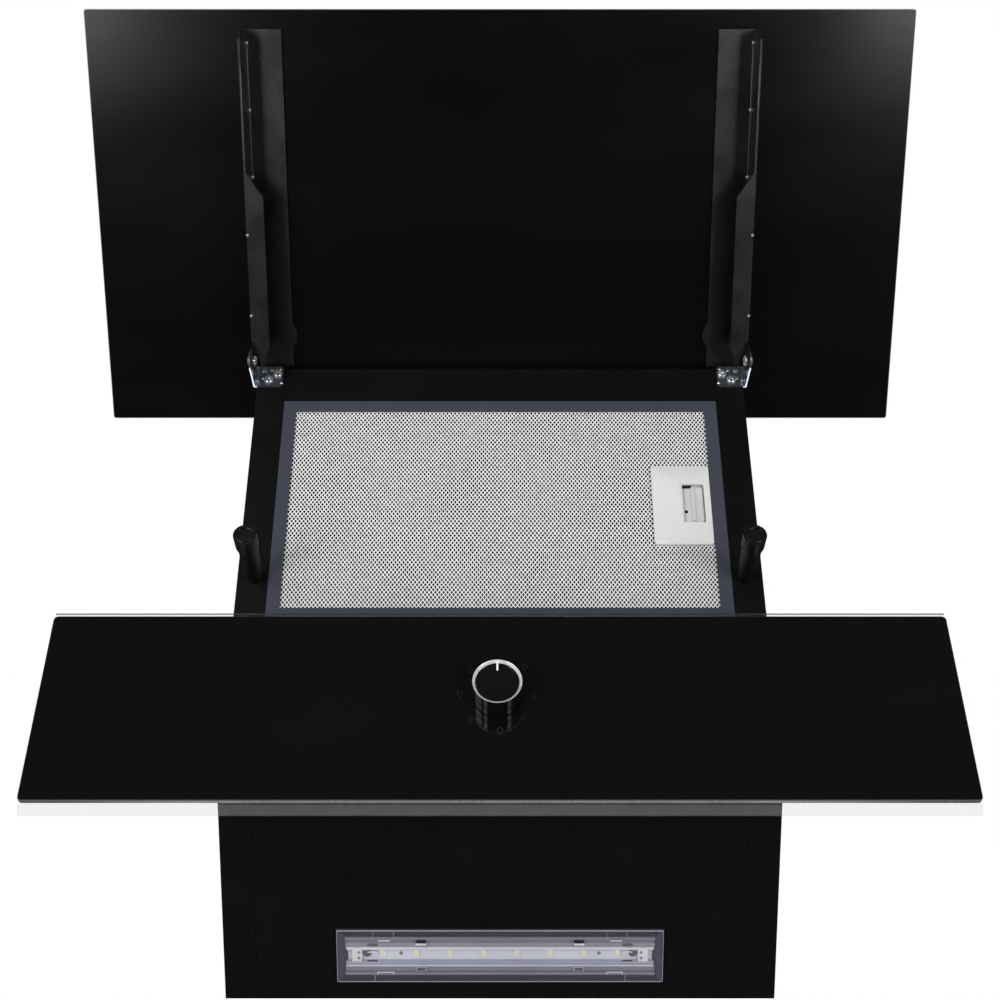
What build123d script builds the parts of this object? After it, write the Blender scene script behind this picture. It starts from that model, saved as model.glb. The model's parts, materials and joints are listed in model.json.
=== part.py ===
from build123d import *
import os
from math import cos, radians, sin

# Angled wall-mounted cooker hood with a hinged upper glass flap, in millimetres, +Z up.
#
# X is across the hood, the wall is the plane Y = 0 and the hood stands out of it towards -Y.
# The parts are drawn with Z = 0 at the underside and moved down by ORIGIN_HEIGHT as they are
# saved, so that the origin is on the wall face, level with the hanging keyholes.
# The flap is drawn in its open position, where it rests on its stops.

# ---- driving dimensions -------------------------------------------------------------------------
ORIGIN_HEIGHT = 190.0          # keyhole centres above the underside
WALL_SCREW_X = 140.0           # keyholes and lock screws, each side of the middle
LOCK_SCREW_HEIGHT = 70.0
SHEET = 1.2                    # steel sheet of the body
HALF_WIDTH = 184.0             # body, centre to outer side face
BODY_HEIGHT = 241.2
UNDERSIDE_DEPTH = 157.4        # wall to the front edge of the level underside
FACE_ANGLE = 45.8              # slope of the suction face above level
FACE_LENGTH = 336.6            # along the slope
STRIP = 21.5                   # folded strip along each side of the face and the underside
GAP = 0.2                      # between neighbouring sheets in one plane

GLASS_HALF = 300.0             # both glass panels are 600 mm wide
GLASS = 4.0
LOWER_GLASS_LENGTH = 140.3
LOWER_GLASS_TOP_U = 109.79     # top edge of the outer surface, along the face
LOWER_GLASS_TOP_N = 23.88      # and out of the face
LOWER_GLASS_TILT = 5.1         # leans this much further out at the bottom
KNOB_DOWN = 65.6               # knob centre below the top edge of the lower glass
KNOB_X = -1.7                  # and a little left of the middle
EDGE_STRIP_DEPTH = 7.3
EDGE_STRIP = 2.0

FLAP_LENGTH = 304.0
PIVOT_U = 323.6
PIVOT_N = 24.7
PIVOT_TO_GLASS = 34.7          # pivot axis to the inner surface of the flap glass
FLAP_OVERHANG = 53.3           # glass beyond the pivot
FLAP_DROOP = 4.7               # free edge below level when the flap is open
ARM_SHEET = 1.5
ARM_INNER_X = 158.0
ARM_WEB_X = 183.5
ARM_FREE_END = 236.7           # pivot to the free end of the arm
ARM_FLANGE_END = 120.5         # pivot to the cut end of the front flange
ARM_BOSS = (168.0, -13.0)      # under the lobe of the base, X and along the arm

POST_U = 151.0
POST_X = 171.3
POST_HEAD_R = 7.9
MAGNET_R = 5.2
BRACKET_U = (317.5, 336.4)
BRACKET_SCREWS = ((168.9, 329.3), (175.5, 323.8))    # X and up the face
SCREW_R = 2.0

FILTER_U = (117.4, 304.4)
FILTER_HALF = 162.2
FILTER_RAIL = 9.4
FILTER_DEPTH = 9.0
LATCH_X = (110.0, 152.4)
LATCH_U = (178.0, 245.0)
WINDOW_X = (132.0, 147.6)
WINDOW_U = (196.0, 229.0)
PRONG_U = (190.7, 231.7)
TAB_U = (156.1, 265.7)         # hooks on the filter's left edge
SPRING_U = (194.8, 226.8)

LAMP_HALF = 108.8
LAMP_BACK = 13.0               # lamp's wall side from the wall
LAMP_FRONT = 51.0
LAMP_DEPTH = 6.2
LED_COUNT = 8
LED_PITCH = 22.4

FAN_CENTRE = (112.0, 118.0)    # distance from the wall, height above the underside
FAN_HALF = 62.0
FAN_WALL = 2.0
IMPELLER_R = 66.0
BLADE_COUNT = 30
OUTLET_CENTRE = 72.0           # distance from the wall
OUTLET_R = 59.5
OUTLET_RISE = 42.0
CABLE_AT = (-110.0, -45.0)
CAPACITOR_AT = (105.0, -60.0)

# ---- frames -------------------------------------------------------------------------------------
SLOPE = (cos(radians(FACE_ANGLE)), sin(radians(FACE_ANGLE)))
FACE = Plane(
    origin=(0, -UNDERSIDE_DEPTH, 0), x_dir=(1, 0, 0), z_dir=(0, -SLOPE[1], -SLOPE[0])
)


def from_face(u, n):
    """(Y, Z) of a point at u up the face and n out of it."""
    y = -UNDERSIDE_DEPTH - u * SLOPE[0] - n * SLOPE[1]
    z = u * SLOPE[1] - n * SLOPE[0]
    return y, z


PIVOT_Y, PIVOT_Z = from_face(PIVOT_U, PIVOT_N)
# The flap's local y runs from the free edge back past the pivot, and z from the pivot to the glass.
FLAP = Plane(
    origin=(0, PIVOT_Y, PIVOT_Z),
    x_dir=(1, 0, 0),
    z_dir=(0, -sin(radians(FLAP_DROOP)), cos(radians(FLAP_DROOP))),
)
# Lower glass: y runs up the glass from its top edge, z out of its outer surface.
GLASS_TOP = from_face(LOWER_GLASS_TOP_U, LOWER_GLASS_TOP_N)
GLASS_ANGLE = radians(FACE_ANGLE + LOWER_GLASS_TILT)
LOWER = Plane(
    origin=(0, GLASS_TOP[0], GLASS_TOP[1]),
    x_dir=(1, 0, 0),
    z_dir=(0, -sin(GLASS_ANGLE), -cos(GLASS_ANGLE)),
)


# ---- helpers ------------------------------------------------------------------------------------
def save(name, *solids):
    """Write one node; several solids make a group."""
    moved = [part.moved(Location((0, 0, -ORIGIN_HEIGHT))) for part in solids]
    pieces = [solid for part in moved for solid in part.solids()]
    shape = pieces[0] if len(pieces) == 1 else Compound(children=pieces)
    export_step(shape, f"parts/{name}.step")


def block(xs, ys, zs, plane=Plane.XY):
    """A box between two corners, given by its range along each axis of the plane."""
    size = [abs(r[1] - r[0]) for r in (xs, ys, zs)]
    middle = [(r[0] + r[1]) / 2 for r in (xs, ys, zs)]
    return plane.location * Location(tuple(middle)) * Box(*size)


def rod(radius, start, end, axis, plane=Plane.XY):
    """A cylinder along one axis; start and end are (x, y, z) of its two end centres."""
    middle = tuple((a + b) / 2 for a, b in zip(start, end))
    length = sum(abs(b - a) for a, b in zip(start, end))
    turn = {"X": (0, 90, 0), "Y": (90, 0, 0), "Z": (0, 0, 0)}[axis]
    return plane.location * Location(middle, turn) * Cylinder(radius, length)


def mirrored(part):
    return mirror(part, about=Plane.YZ)


def both(part):
    """The part and its mirror image on the other side."""
    return [part, mirrored(part)]


def plate_yz(points, x_from, x_to):
    """A flat plate of the outline in Y and Z, between two X positions."""
    outline = make_face(Polyline(*[(y, z) for y, z in points], close=True))
    solid = extrude(outline, amount=x_to - x_from)
    return Plane(origin=(x_from, 0, 0), x_dir=(0, 1, 0), z_dir=(1, 0, 0)).location * solid


def rounded_plate(x_half, ys, zs, radius, plane):
    """A plate with its four outline corners rounded."""
    plate = block((-x_half, x_half), ys, zs, plane)
    axis = Axis((0, 0, 0), plane.z_dir)
    return fillet(plate.edges().filter_by(axis), radius)


def polar(centre, radius, angle):
    return (centre[0] + radius * cos(radians(angle)), centre[1] + radius * sin(radians(angle)))


# ---- body ---------------------------------------------------------------------------------------
FACE_TOP = from_face(FACE_LENGTH, 0)
STRIP_X = HALF_WIDTH - STRIP


def back_panel():
    """Wall sheet with two keyholes to hang it and two screw holes below them."""
    sheet = block((-HALF_WIDTH + SHEET, HALF_WIDTH - SHEET), (-SHEET, 0), (0, BODY_HEIGHT))
    slot = (ORIGIN_HEIGHT - 5, ORIGIN_HEIGHT + 6)
    for x in (-WALL_SCREW_X, WALL_SCREW_X):
        sheet -= rod(5.5, (x, -5, slot[0]), (x, 5, slot[0]), "Y")
        sheet -= rod(2.6, (x, -5, slot[1]), (x, 5, slot[1]), "Y")
        sheet -= block((x - 2.6, x + 2.6), (-5, 5), slot)
        sheet -= rod(3.0, (x, -5, LOCK_SCREW_HEIGHT), (x, 5, LOCK_SCREW_HEIGHT), "Y")
    return sheet


def side_panel(slot_us, slot_half, slot_ns):
    """Right side: cheek with strips folded in along the underside and the face.

    The rebate beside the filter has a slot at each of slot_us for what the filter hooks in.
    """
    outline = [(0, 0), (-UNDERSIDE_DEPTH, 0), FACE_TOP, (0, FACE_TOP[1])]
    cheek = plate_yz(outline, HALF_WIDTH - SHEET, HALF_WIDTH)
    xs = (STRIP_X, HALF_WIDTH - SHEET / 2)
    wrap = 0.5
    under = block(xs, (-UNDERSIDE_DEPTH + wrap, -SHEET), (0, SHEET))
    face = block(xs, (0, FACE_LENGTH), (-SHEET, 0), FACE)
    rebate = block((STRIP_X, STRIP_X + SHEET), (FILTER_U[0] - 8, FILTER_U[1] + 8), (-12, 0), FACE)
    panel = cheek + under + face + rebate
    for u in slot_us:
        slot = (u - slot_half, u + slot_half)
        panel -= block((STRIP_X - 1, STRIP_X + SHEET + 1), slot, slot_ns, FACE)
    for x, u in BRACKET_SCREWS:
        panel -= rod(SCREW_R, (x, u, -5), (x, u, 5), "Z", FACE)
    return panel - rod(SCREW_R, (POST_X, POST_U, -5), (POST_X, POST_U, 5), "Z", FACE)


def underside_panel():
    half = STRIP_X - GAP
    sheet = block((-half, half), (-UNDERSIDE_DEPTH + 1.5, -SHEET - GAP), (0, SHEET))
    lamp = LAMP_HALF - 3
    return sheet - block((-lamp, lamp), (-LAMP_FRONT + 3, -LAMP_BACK - 3), (-5, 5))


def top_panel():
    inner = HALF_WIDTH - SHEET
    front = -FACE_TOP[0] - 4
    zs = (BODY_HEIGHT - SHEET, BODY_HEIGHT)
    sheet = block((-inner, inner), (-front, -SHEET), zs)
    hole = rod(57.5, (0, -OUTLET_CENTRE, 0), (0, -OUTLET_CENTRE, 300), "Z")
    cable = rod(9.1, (*CABLE_AT, 200), (*CABLE_AT, 300), "Z")
    return sheet - hole - cable


def face_top_strip():
    half = STRIP_X - GAP
    us = (FILTER_U[1] + 0.4, FACE_LENGTH - 1.5)
    strip = block((-half, half), us, (-SHEET, 0), FACE)
    lip = block((-half, half), (us[0], us[0] + SHEET), (-12, 0), FACE)
    return strip + lip


def face_bottom_strip():
    half = STRIP_X - GAP
    us = (1.5, FILTER_U[0] - 0.4)
    strip = block((-half, half), us, (-SHEET, 0), FACE)
    lip = block((-half, half), (us[1] - SHEET, us[1]), (-12, 0), FACE)
    wires = rod(12, (0, 45, -5), (0, 45, 5), "Z", FACE)
    return strip + lip - wires


# ---- grease filter ------------------------------------------------------------------------------
def filter_rails():
    """Four mitred channel rails, open towards the mesh."""
    low, high = FILTER_U
    half = FILTER_HALF
    us_mid = (low + high) / 2
    half_u = (high - low) / 2
    section = [(0, 0), (FILTER_RAIL, 0), (FILTER_RAIL, -1), (1, -1)]
    section += [(1, 1 - FILTER_DEPTH), (FILTER_RAIL, 1 - FILTER_DEPTH)]
    section += [(FILTER_RAIL, -FILTER_DEPTH), (0, -FILTER_DEPTH)]
    rails = []
    for turn, along, out in ((0, half, half_u), (90, half_u, half), (180, half, half_u),
                             (270, half_u, half)):
        outline = make_face(Polyline(*[(y - out, z) for y, z in section], close=True))
        bar = Plane(origin=(-along, 0, 0), x_dir=(0, 1, 0), z_dir=(1, 0, 0)).location
        bar = bar * extrude(outline, amount=2 * along)
        tip = [(along - out, 0), (out - along, 0)] if along >= out else [(0, along - out)]
        wedge = make_face(Polyline((-along, -out), (along, -out), *tip, close=True))
        bar = bar & extrude(wedge, amount=20, both=True)
        rails.append(FACE.location * Location((0, us_mid, 0), (0, 0, turn)) * bar)
    right_rail = 1
    for u in PRONG_U:
        rails[right_rail] -= block((half - 3, half + 3), (u - 4.6, u + 4.6), (-6.6, -2.4), FACE)
    return rails


def filter_mesh():
    """The pack of aluminium mesh, recessed where the latch plate covers it."""
    inset = 1.2
    xs = (-FILTER_HALF + inset, FILTER_HALF - inset)
    us = (FILTER_U[0] + inset, FILTER_U[1] - inset)
    pack = block(xs, us, (-FILTER_DEPTH + 1.2, -1.2), FACE)
    clear = 0.5
    pocket_x = (WINDOW_X[0] - 4, FILTER_HALF)
    pocket_u = (LATCH_U[0] + 6 - clear, LATCH_U[1] - 6 + clear)
    return pack - block(pocket_x, pocket_u, (-7.4, 0), FACE)


def latch_plate():
    """Grey moulded plate with a window for the finger pull."""
    body = block(LATCH_X, LATCH_U, (-1.0, 1.0), FACE)
    body = fillet(body.edges().filter_by(Axis((0, 0, 0), FACE.z_dir)), 2.0)
    window = block(WINDOW_X, WINDOW_U, (-3, 3), FACE)
    return body - window


def latch_slider():
    """Sliding bolt with a finger pull in the window and two prongs through the right rail."""
    xs = (WINDOW_X[0] + 7.4, 153.5)
    carriage = block(xs, (PRONG_U[0] - 4, PRONG_U[1] + 4), (-6.2, -2.8), FACE)
    pull = block((WINDOW_X[0] + 7.4, WINDOW_X[1] - 1.0), (198.5, 226.5), (-3.4, 0.4), FACE)
    bolt = carriage + pull
    for u in PRONG_U:
        bolt += block((150, STRIP_X + SHEET + 2.2), (u - 4, u + 4), (-6.2, -2.8), FACE)
    for u in SPRING_U:
        bolt -= block((xs[0] - 1, 147.6), (u - 5, u + 5), (-5.7, -3.3), FACE)
    return bolt


def latch_spring():
    """Two flat zigzag springs, drawn as short as they are with the bolt pulled right back."""
    springs = []
    for u in SPRING_U:
        points = [(128.6 + 2 * i, u - 3.2 if i % 2 else u + 3.2) for i in range(7)]
        ribbon = trace(Polyline(*points), line_width=0.5)
        springs.append(FACE.location * Location((0, 0, -5.4)) * extrude(ribbon, amount=1.8))
    return springs


def filter_tabs():
    """Two tabs on the left rail that hook behind the left strip."""
    tabs = []
    for u in TAB_U:
        outer = -STRIP_X - SHEET - 2.0
        tabs.append(block((outer, -FILTER_HALF), (u - 5, u + 5), (-8.4, -7.2), FACE))
    return tabs


# ---- lower glass and control --------------------------------------------------------------------
KNOB_AT = -KNOB_DOWN           # knob centre in the glass frame
KNOB_R = 15.6
KNOB_DISH_R = 13.7
KNOB_HEIGHT = 18.4


def lower_glass():
    glass = rounded_plate(GLASS_HALF, (-LOWER_GLASS_LENGTH, 0), (-GLASS, 0), 3.0, LOWER)
    return glass - rod(5.0, (KNOB_X, KNOB_AT, -10), (KNOB_X, KNOB_AT, 10), "Z", LOWER)


def glass_carrier():
    """Folded steel tray between the body and the lower glass; the switch sits in it."""
    top_u = 99.0
    bottom_u = 3.0
    lean = sin(radians(LOWER_GLASS_TILT)) / cos(radians(LOWER_GLASS_TILT))

    def glass_n(u):
        inner = LOWER_GLASS_TOP_N - GLASS / cos(radians(LOWER_GLASS_TILT))
        return inner + (LOWER_GLASS_TOP_U - u) * lean

    outer = [(bottom_u, 0.0), (top_u, 0.0), (top_u, glass_n(top_u)), (bottom_u, glass_n(bottom_u))]
    half = 150.0
    tray = plate_yz([from_face(u, n) for u, n in outer], -half, half)
    deep = [
        (bottom_u + SHEET, -1.0),
        (top_u - SHEET, -1.0),
        (top_u - SHEET, glass_n(top_u - SHEET) - SHEET),
        (bottom_u + SHEET, glass_n(bottom_u + SHEET) - SHEET),
    ]
    tray -= plate_yz([from_face(u, n) for u, n in deep], -half + SHEET, half - SHEET)
    hole = rod(5.0, (KNOB_X, KNOB_AT, -10), (KNOB_X, KNOB_AT, 0), "Z", LOWER)
    return tray - hole


def edge_strip():
    """Clear strip that runs back from the bottom edge of the lower glass."""
    y, z = from_face(
        LOWER_GLASS_TOP_U - LOWER_GLASS_LENGTH * cos(radians(LOWER_GLASS_TILT)),
        LOWER_GLASS_TOP_N + LOWER_GLASS_LENGTH * sin(radians(LOWER_GLASS_TILT)),
    )
    inner_y = y + GLASS * sin(GLASS_ANGLE) + 0.2
    inner_z = z + GLASS * cos(GLASS_ANGLE)
    ys = (inner_y, inner_y + EDGE_STRIP_DEPTH)
    return block((-GLASS_HALF, GLASS_HALF), ys, (inner_z - EDGE_STRIP, inner_z))


def knob_body():
    """Turned knob: skirt, waist groove and a recessed top."""
    base = 0.6
    knob = rod(KNOB_R, (KNOB_X, KNOB_AT, base), (KNOB_X, KNOB_AT, KNOB_HEIGHT), "Z", LOWER)
    floor = KNOB_HEIGHT - 1.8
    knob -= rod(KNOB_DISH_R, (KNOB_X, KNOB_AT, floor), (KNOB_X, KNOB_AT, floor + 4), "Z", LOWER)
    groove = rod(KNOB_R + 2, (KNOB_X, KNOB_AT, 8.0), (KNOB_X, KNOB_AT, 9.0), "Z", LOWER)
    groove -= rod(KNOB_R - 0.8, (KNOB_X, KNOB_AT, 7.0), (KNOB_X, KNOB_AT, 10.0), "Z", LOWER)
    knob -= groove
    return knob - rod(3.0, (KNOB_X, KNOB_AT, -1), (KNOB_X, KNOB_AT, 13.0), "Z", LOWER)


def knob_ring():
    """Bright dished ring pressed over the rim of the knob."""
    ring = rod(KNOB_R + 0.4, (KNOB_X, KNOB_AT, KNOB_HEIGHT), (KNOB_X, KNOB_AT, KNOB_HEIGHT + 1), "Z", LOWER)
    return ring - rod(KNOB_DISH_R, (KNOB_X, KNOB_AT, 0), (KNOB_X, KNOB_AT, 40), "Z", LOWER)


def knob_pointer():
    top = KNOB_HEIGHT - 1.8
    xs = (KNOB_X - 0.6, KNOB_X + 0.6)
    return block(xs, (KNOB_AT + 9.4, KNOB_AT + KNOB_DISH_R), (top, top + 0.4), LOWER)


def switch_shaft():
    shaft = rod(3.0, (KNOB_X, KNOB_AT, -10.0), (KNOB_X, KNOB_AT, 13.0), "Z", LOWER)
    return shaft - block((KNOB_X + 1.6, KNOB_X + 5), (KNOB_AT - 4, KNOB_AT + 4), (0.6, 14), LOWER)


def rotary_switch():
    """Multi-position switch body with its threaded neck through the tray and the glass."""
    base = -GLASS - SHEET
    xs = (KNOB_X - 14, KNOB_X + 14)
    body = block(xs, (KNOB_AT - 14, KNOB_AT + 14), (base - 9, base), LOWER)
    neck = rod(4.8, (KNOB_X, KNOB_AT, base - 1), (KNOB_X, KNOB_AT, -0.4), "Z", LOWER)
    switch = body + neck
    return switch - rod(3.05, (KNOB_X, KNOB_AT, -30), (KNOB_X, KNOB_AT, 30), "Z", LOWER)


# ---- flap ---------------------------------------------------------------------------------------
FREE_EDGE = FLAP_OVERHANG - FLAP_LENGTH


def flap_glass():
    zs = (PIVOT_TO_GLASS, PIVOT_TO_GLASS + GLASS)
    return rounded_plate(GLASS_HALF, (FREE_EDGE, FLAP_OVERHANG), zs, 2.0, FLAP)


BOND = 0.8                     # adhesive between arm and glass
ARM_BASE = PIVOT_TO_GLASS - BOND
BASE_DIMPLES = (-227.4, -180.1, -131.8)    # pressed along the fold of the base
FRONT_DIMPLES = (-93.0, -33.5)             # and along the fold of the front flange


def arm():
    """Right arm: base flange, upright web with an ear for the pivot, and a front flange."""
    base_z = (ARM_BASE - ARM_SHEET, ARM_BASE)
    base = block((ARM_INNER_X, ARM_WEB_X), (-ARM_FREE_END, 12), base_z, FLAP)
    lobe = rod(13.4, (*ARM_BOSS, base_z[0]), (*ARM_BOSS, base_z[1]), "Z", FLAP)
    front = 1.7
    points = [(-ARM_FREE_END, ARM_BASE), (-ARM_FREE_END, front + 4), (-ARM_FREE_END + 6, front)]
    points += [(-14, front), (-9.5, -5), (-5, -9.5), (5, -9.5), (9.5, -5), (9.5, 6), (2, 14)]
    points.append((2, ARM_BASE))
    outline = make_face(Polyline(*points, close=True))
    side = Plane(origin=(ARM_WEB_X, 0, 0), x_dir=(0, 1, 0), z_dir=(1, 0, 0)).location
    web = FLAP.location * (side * extrude(outline, amount=ARM_SHEET))
    web -= rod(2.55, (ARM_WEB_X - 5, 0, 0), (ARM_WEB_X + 5, 0, 0), "X", FLAP)
    inner = ARM_WEB_X - 11.8
    notch = ARM_WEB_X - 3.2
    cut = [(ARM_WEB_X, -ARM_FLANGE_END - 17), (inner, -ARM_FLANGE_END), (inner, -9.4)]
    cut += [(inner + 3.5, -0.9), (notch, -0.9), (notch, -5.4), (ARM_WEB_X, -5.4)]
    flange = make_face(Polyline(*cut, close=True))
    flange = FLAP.location * (Location((0, 0, front)) * extrude(flange, amount=ARM_SHEET))
    boss = rod(5.0, (*ARM_BOSS, base_z[0] - 1.4), (*ARM_BOSS, base_z[0]), "Z", FLAP)
    boss -= rod(3.0, (*ARM_BOSS, 0), (*ARM_BOSS, base_z[0] - 0.6), "Z", FLAP)
    body = base + lobe + web + flange + boss
    inside_x = (ARM_WEB_X - 4, ARM_WEB_X + 1)
    for y in BASE_DIMPLES:
        ball = FLAP.location * (Location((ARM_WEB_X + 0.4, y, ARM_BASE - 1.5)) * Sphere(1.9))
        body += ball & block(inside_x, (y - 4, y + 4), (ARM_BASE - 6, ARM_BASE), FLAP)
    for y in FRONT_DIMPLES:
        fold = FLAP.location * Location((ARM_WEB_X + 0.9, y, front))
        body += (fold * Sphere(2.6)) & block(inside_x, (y - 4, y + 4), (front + 1, front + 6), FLAP)
        body -= fold * Sphere(1.2)
    return body


def arm_bonds():
    xs = (ARM_INNER_X + 2, ARM_WEB_X)
    return both(block(xs, (-ARM_FREE_END + 3, 9), (ARM_BASE, PIVOT_TO_GLASS), FLAP))


# ---- hinges -------------------------------------------------------------------------------------
BRACKET_X = ARM_WEB_X + ARM_SHEET + 0.5
BRACKET_SHEET = 1.0
RIVET_R = 2.5
RIVET_HEAD_R = 4.2
FACE_NORMAL = Axis((0, 0, 0), FACE.z_dir)


def hinge_bracket():
    """Right bracket: foot on the face strip, flange up to the pivot."""
    xs = (BRACKET_X, BRACKET_X + BRACKET_SHEET)
    foot = block((165, xs[1]), BRACKET_U, (0, BRACKET_SHEET), FACE)
    foot = fillet(foot.edges().filter_by(FACE_NORMAL).group_by(Axis.X)[0], 2.5)
    ear = 7.8
    sides = [(BRACKET_U[0], 0), (BRACKET_U[1] - 2, 0), (PIVOT_U + ear, PIVOT_N)]
    sides.append((PIVOT_U - ear, PIVOT_N))
    flange = plate_yz([from_face(u, n) for u, n in sides], *xs)
    flange += rod(ear, (xs[0], PIVOT_U, PIVOT_N), (xs[1], PIVOT_U, PIVOT_N), "X", FACE)
    bracket = foot + flange
    bracket -= rod(RIVET_R, (100, PIVOT_U, PIVOT_N), (200, PIVOT_U, PIVOT_N), "X", FACE)
    for x, u in BRACKET_SCREWS:
        bracket -= rod(SCREW_R, (x, u, -5), (x, u, 5), "Z", FACE)
    return bracket


def pivot_rivet():
    """Shank with an inner and an outer head."""
    def disc(radius, x_from, x_to):
        return rod(radius, (x_from, PIVOT_U, PIVOT_N), (x_to, PIVOT_U, PIVOT_N), "X", FACE)

    shank = disc(RIVET_R, ARM_WEB_X - 2, BRACKET_X + BRACKET_SHEET + 1)
    inner = disc(RIVET_HEAD_R, ARM_WEB_X - 2.3, ARM_WEB_X - 0.3)
    outer = disc(RIVET_HEAD_R, BRACKET_X + BRACKET_SHEET, BRACKET_X + BRACKET_SHEET + 2.2)
    return shank + inner + outer


def friction_washer():
    xs = (ARM_WEB_X + ARM_SHEET + 0.1, BRACKET_X)
    ring = rod(6.5, (xs[0], PIVOT_U, PIVOT_N), (xs[1], PIVOT_U, PIVOT_N), "X", FACE)
    return ring - rod(RIVET_R, (100, PIVOT_U, PIVOT_N), (200, PIVOT_U, PIVOT_N), "X", FACE)


def bracket_screw(x, u):
    """Pan head screw that holds the bracket's foot down."""
    seat = BRACKET_SHEET
    head = rod(3.6, (x, u, seat), (x, u, seat + 1.9), "Z", FACE)
    head = fillet(head.edges().group_by(FACE_NORMAL)[-1], 0.8)
    head -= block((x - 2.2, x + 2.2), (u - 0.4, u + 0.4), (seat + 1.0, seat + 3), FACE)
    head -= block((x - 0.4, x + 0.4), (u - 2.2, u + 2.2), (seat + 1.0, seat + 3), FACE)
    return head + rod(SCREW_R, (x, u, -3), (x, u, seat), "Z", FACE)


def catch_post():
    """Right post: tapered shaft, wider head with a pocket for its magnet."""
    shaft = FACE.location * Location((POST_X, POST_U, 20)) * Cone(5.3, 7.0, 40)
    cone = FACE.location * Location((POST_X, POST_U, 42)) * Cone(7.0, POST_HEAD_R, 4)
    head = rod(POST_HEAD_R, (POST_X, POST_U, 44), (POST_X, POST_U, 56.8), "Z", FACE)
    post = shaft + cone + head
    post -= rod(MAGNET_R, (POST_X, POST_U, 53.8), (POST_X, POST_U, 60), "Z", FACE)
    return post - rod(SCREW_R, (POST_X, POST_U, -1), (POST_X, POST_U, 12), "Z", FACE)


def post_screw():
    """Screw from inside the body up into the post."""
    head = rod(4.0, (POST_X, POST_U, -3.6), (POST_X, POST_U, -SHEET), "Z", FACE)
    return head + rod(SCREW_R, (POST_X, POST_U, -SHEET), (POST_X, POST_U, 12), "Z", FACE)


def catch_magnet():
    return rod(MAGNET_R, (POST_X, POST_U, 53.8), (POST_X, POST_U, 56.2), "Z", FACE)


# ---- lamp ---------------------------------------------------------------------------------------
LAMP_MID = (LAMP_BACK + LAMP_FRONT) / 2


def lamp_housing():
    """Tray let into the underside, with a thin flange against the sheet."""
    rim = block((-LAMP_HALF, LAMP_HALF), (-LAMP_FRONT, -LAMP_BACK), (-1.2, 0))
    half = LAMP_HALF - 3.4
    ys = (-LAMP_FRONT + 3.4, -LAMP_BACK - 3.4)
    tray = rim + block((-half, half), ys, (0, LAMP_DEPTH))
    inner = block((-half + 1.4, half - 1.4), (ys[0] + 1.4, ys[1] - 1.4), (-5, LAMP_DEPTH - 1.4))
    return tray - inner


def lamp_cover():
    half = LAMP_HALF - 0.6
    return block((-half, half), (-LAMP_FRONT + 0.6, -LAMP_BACK - 0.6), (-2.4, -1.2))


def led_board():
    half = LAMP_HALF - 12
    return block((-half, half), (-LAMP_MID - 5, -LAMP_MID + 5), (LAMP_DEPTH - 3.0, LAMP_DEPTH - 1.4))


def led_chips():
    chips = []
    for i in range(LED_COUNT):
        x = (i - (LED_COUNT - 1) / 2) * LED_PITCH
        ys = (-LAMP_MID - 1.8, -LAMP_MID + 1.8)
        chips.append(block((x - 1.8, x + 1.8), ys, (LAMP_DEPTH - 3.9, LAMP_DEPTH - 3.0)))
    return chips


def lamp_connectors():
    ends = []
    for x in (-92.5, 92.5):
        ys = (-LAMP_MID - 3.5, -LAMP_MID + 3.5)
        ends.append(block((x - 3.5, x + 3.5), ys, (LAMP_DEPTH - 6.5, LAMP_DEPTH - 3.0)))
    return ends


# ---- fan ----------------------------------------------------------------------------------------
THROAT_BACK = 12.0
THROAT_FRONT = 106.0
SCROLL = ((180, 100), (225, 94), (270, 88), (315, 84), (0, 80), (47, 77), (95, 74))


def scroll_outline(inset):
    """Spiral outline with its throat running up to the top panel; y is distance from the wall."""
    pts = [polar(FAN_CENTRE, r - inset, a) for a, r in SCROLL]
    top = BODY_HEIGHT - SHEET + (10 if inset else 0)
    inner_x = pts[6][0] if not inset else pts[6][0] - inset
    back = pts[0][0]
    edges = [
        Line((back, top), pts[0]),
        ThreePointArc(pts[0], pts[1], pts[2]),
        ThreePointArc(pts[2], pts[3], pts[4]),
        ThreePointArc(pts[4], pts[5], (inner_x, pts[6][1])),
        Line((inner_x, pts[6][1]), (inner_x, top)),
        Line((inner_x, top), (back, top)),
    ]
    return make_face(edges)


def along_x(face, x_from, x_to):
    """Extrude an outline of (distance from the wall, height) between two X positions."""
    plane = Plane(origin=(x_to, 0, 0), x_dir=(0, -1, 0), z_dir=(-1, 0, 0))
    return plane.location * extrude(face, amount=x_to - x_from)


def fan_axis_rod(radius, x_from, x_to):
    y, z = -FAN_CENTRE[0], FAN_CENTRE[1]
    return rod(radius, (x_from, y, z), (x_to, y, z), "X")


def blower_housing():
    shell = along_x(scroll_outline(0), -FAN_HALF, FAN_HALF)
    shell -= along_x(scroll_outline(FAN_WALL), -FAN_HALF + FAN_WALL, FAN_HALF - FAN_WALL)
    shell -= fan_axis_rod(57, -100, 100)
    left = shell & block((-200, 0), (-400, 100), (-50, 400))
    right = shell & block((0, 200), (-400, 100), (-50, 400))
    return left, right


def impeller():
    """Double inlet wheel: middle disc, two end rings and a cage of forward curved blades."""
    wheel = fan_axis_rod(IMPELLER_R - 0.5, -1.2, 1.2)
    for side in (-1, 1):
        ring = fan_axis_rod(IMPELLER_R, side * 46, side * 48.5)
        wheel += ring - fan_axis_rod(IMPELLER_R - 6, side * 40, side * 50)
    for i in range(BLADE_COUNT):
        angle = 360 * i / BLADE_COUNT
        y, z = polar((-FAN_CENTRE[0], FAN_CENTRE[1]), IMPELLER_R - 6.4, angle)
        blade = Location((0, y, z), (angle + 35, 0, 0)) * Box(96, 12, 1.2)
        wheel += blade
    wheel += fan_axis_rod(9, -8, 6)
    return wheel - fan_axis_rod(4.05, -50, 50)


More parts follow.
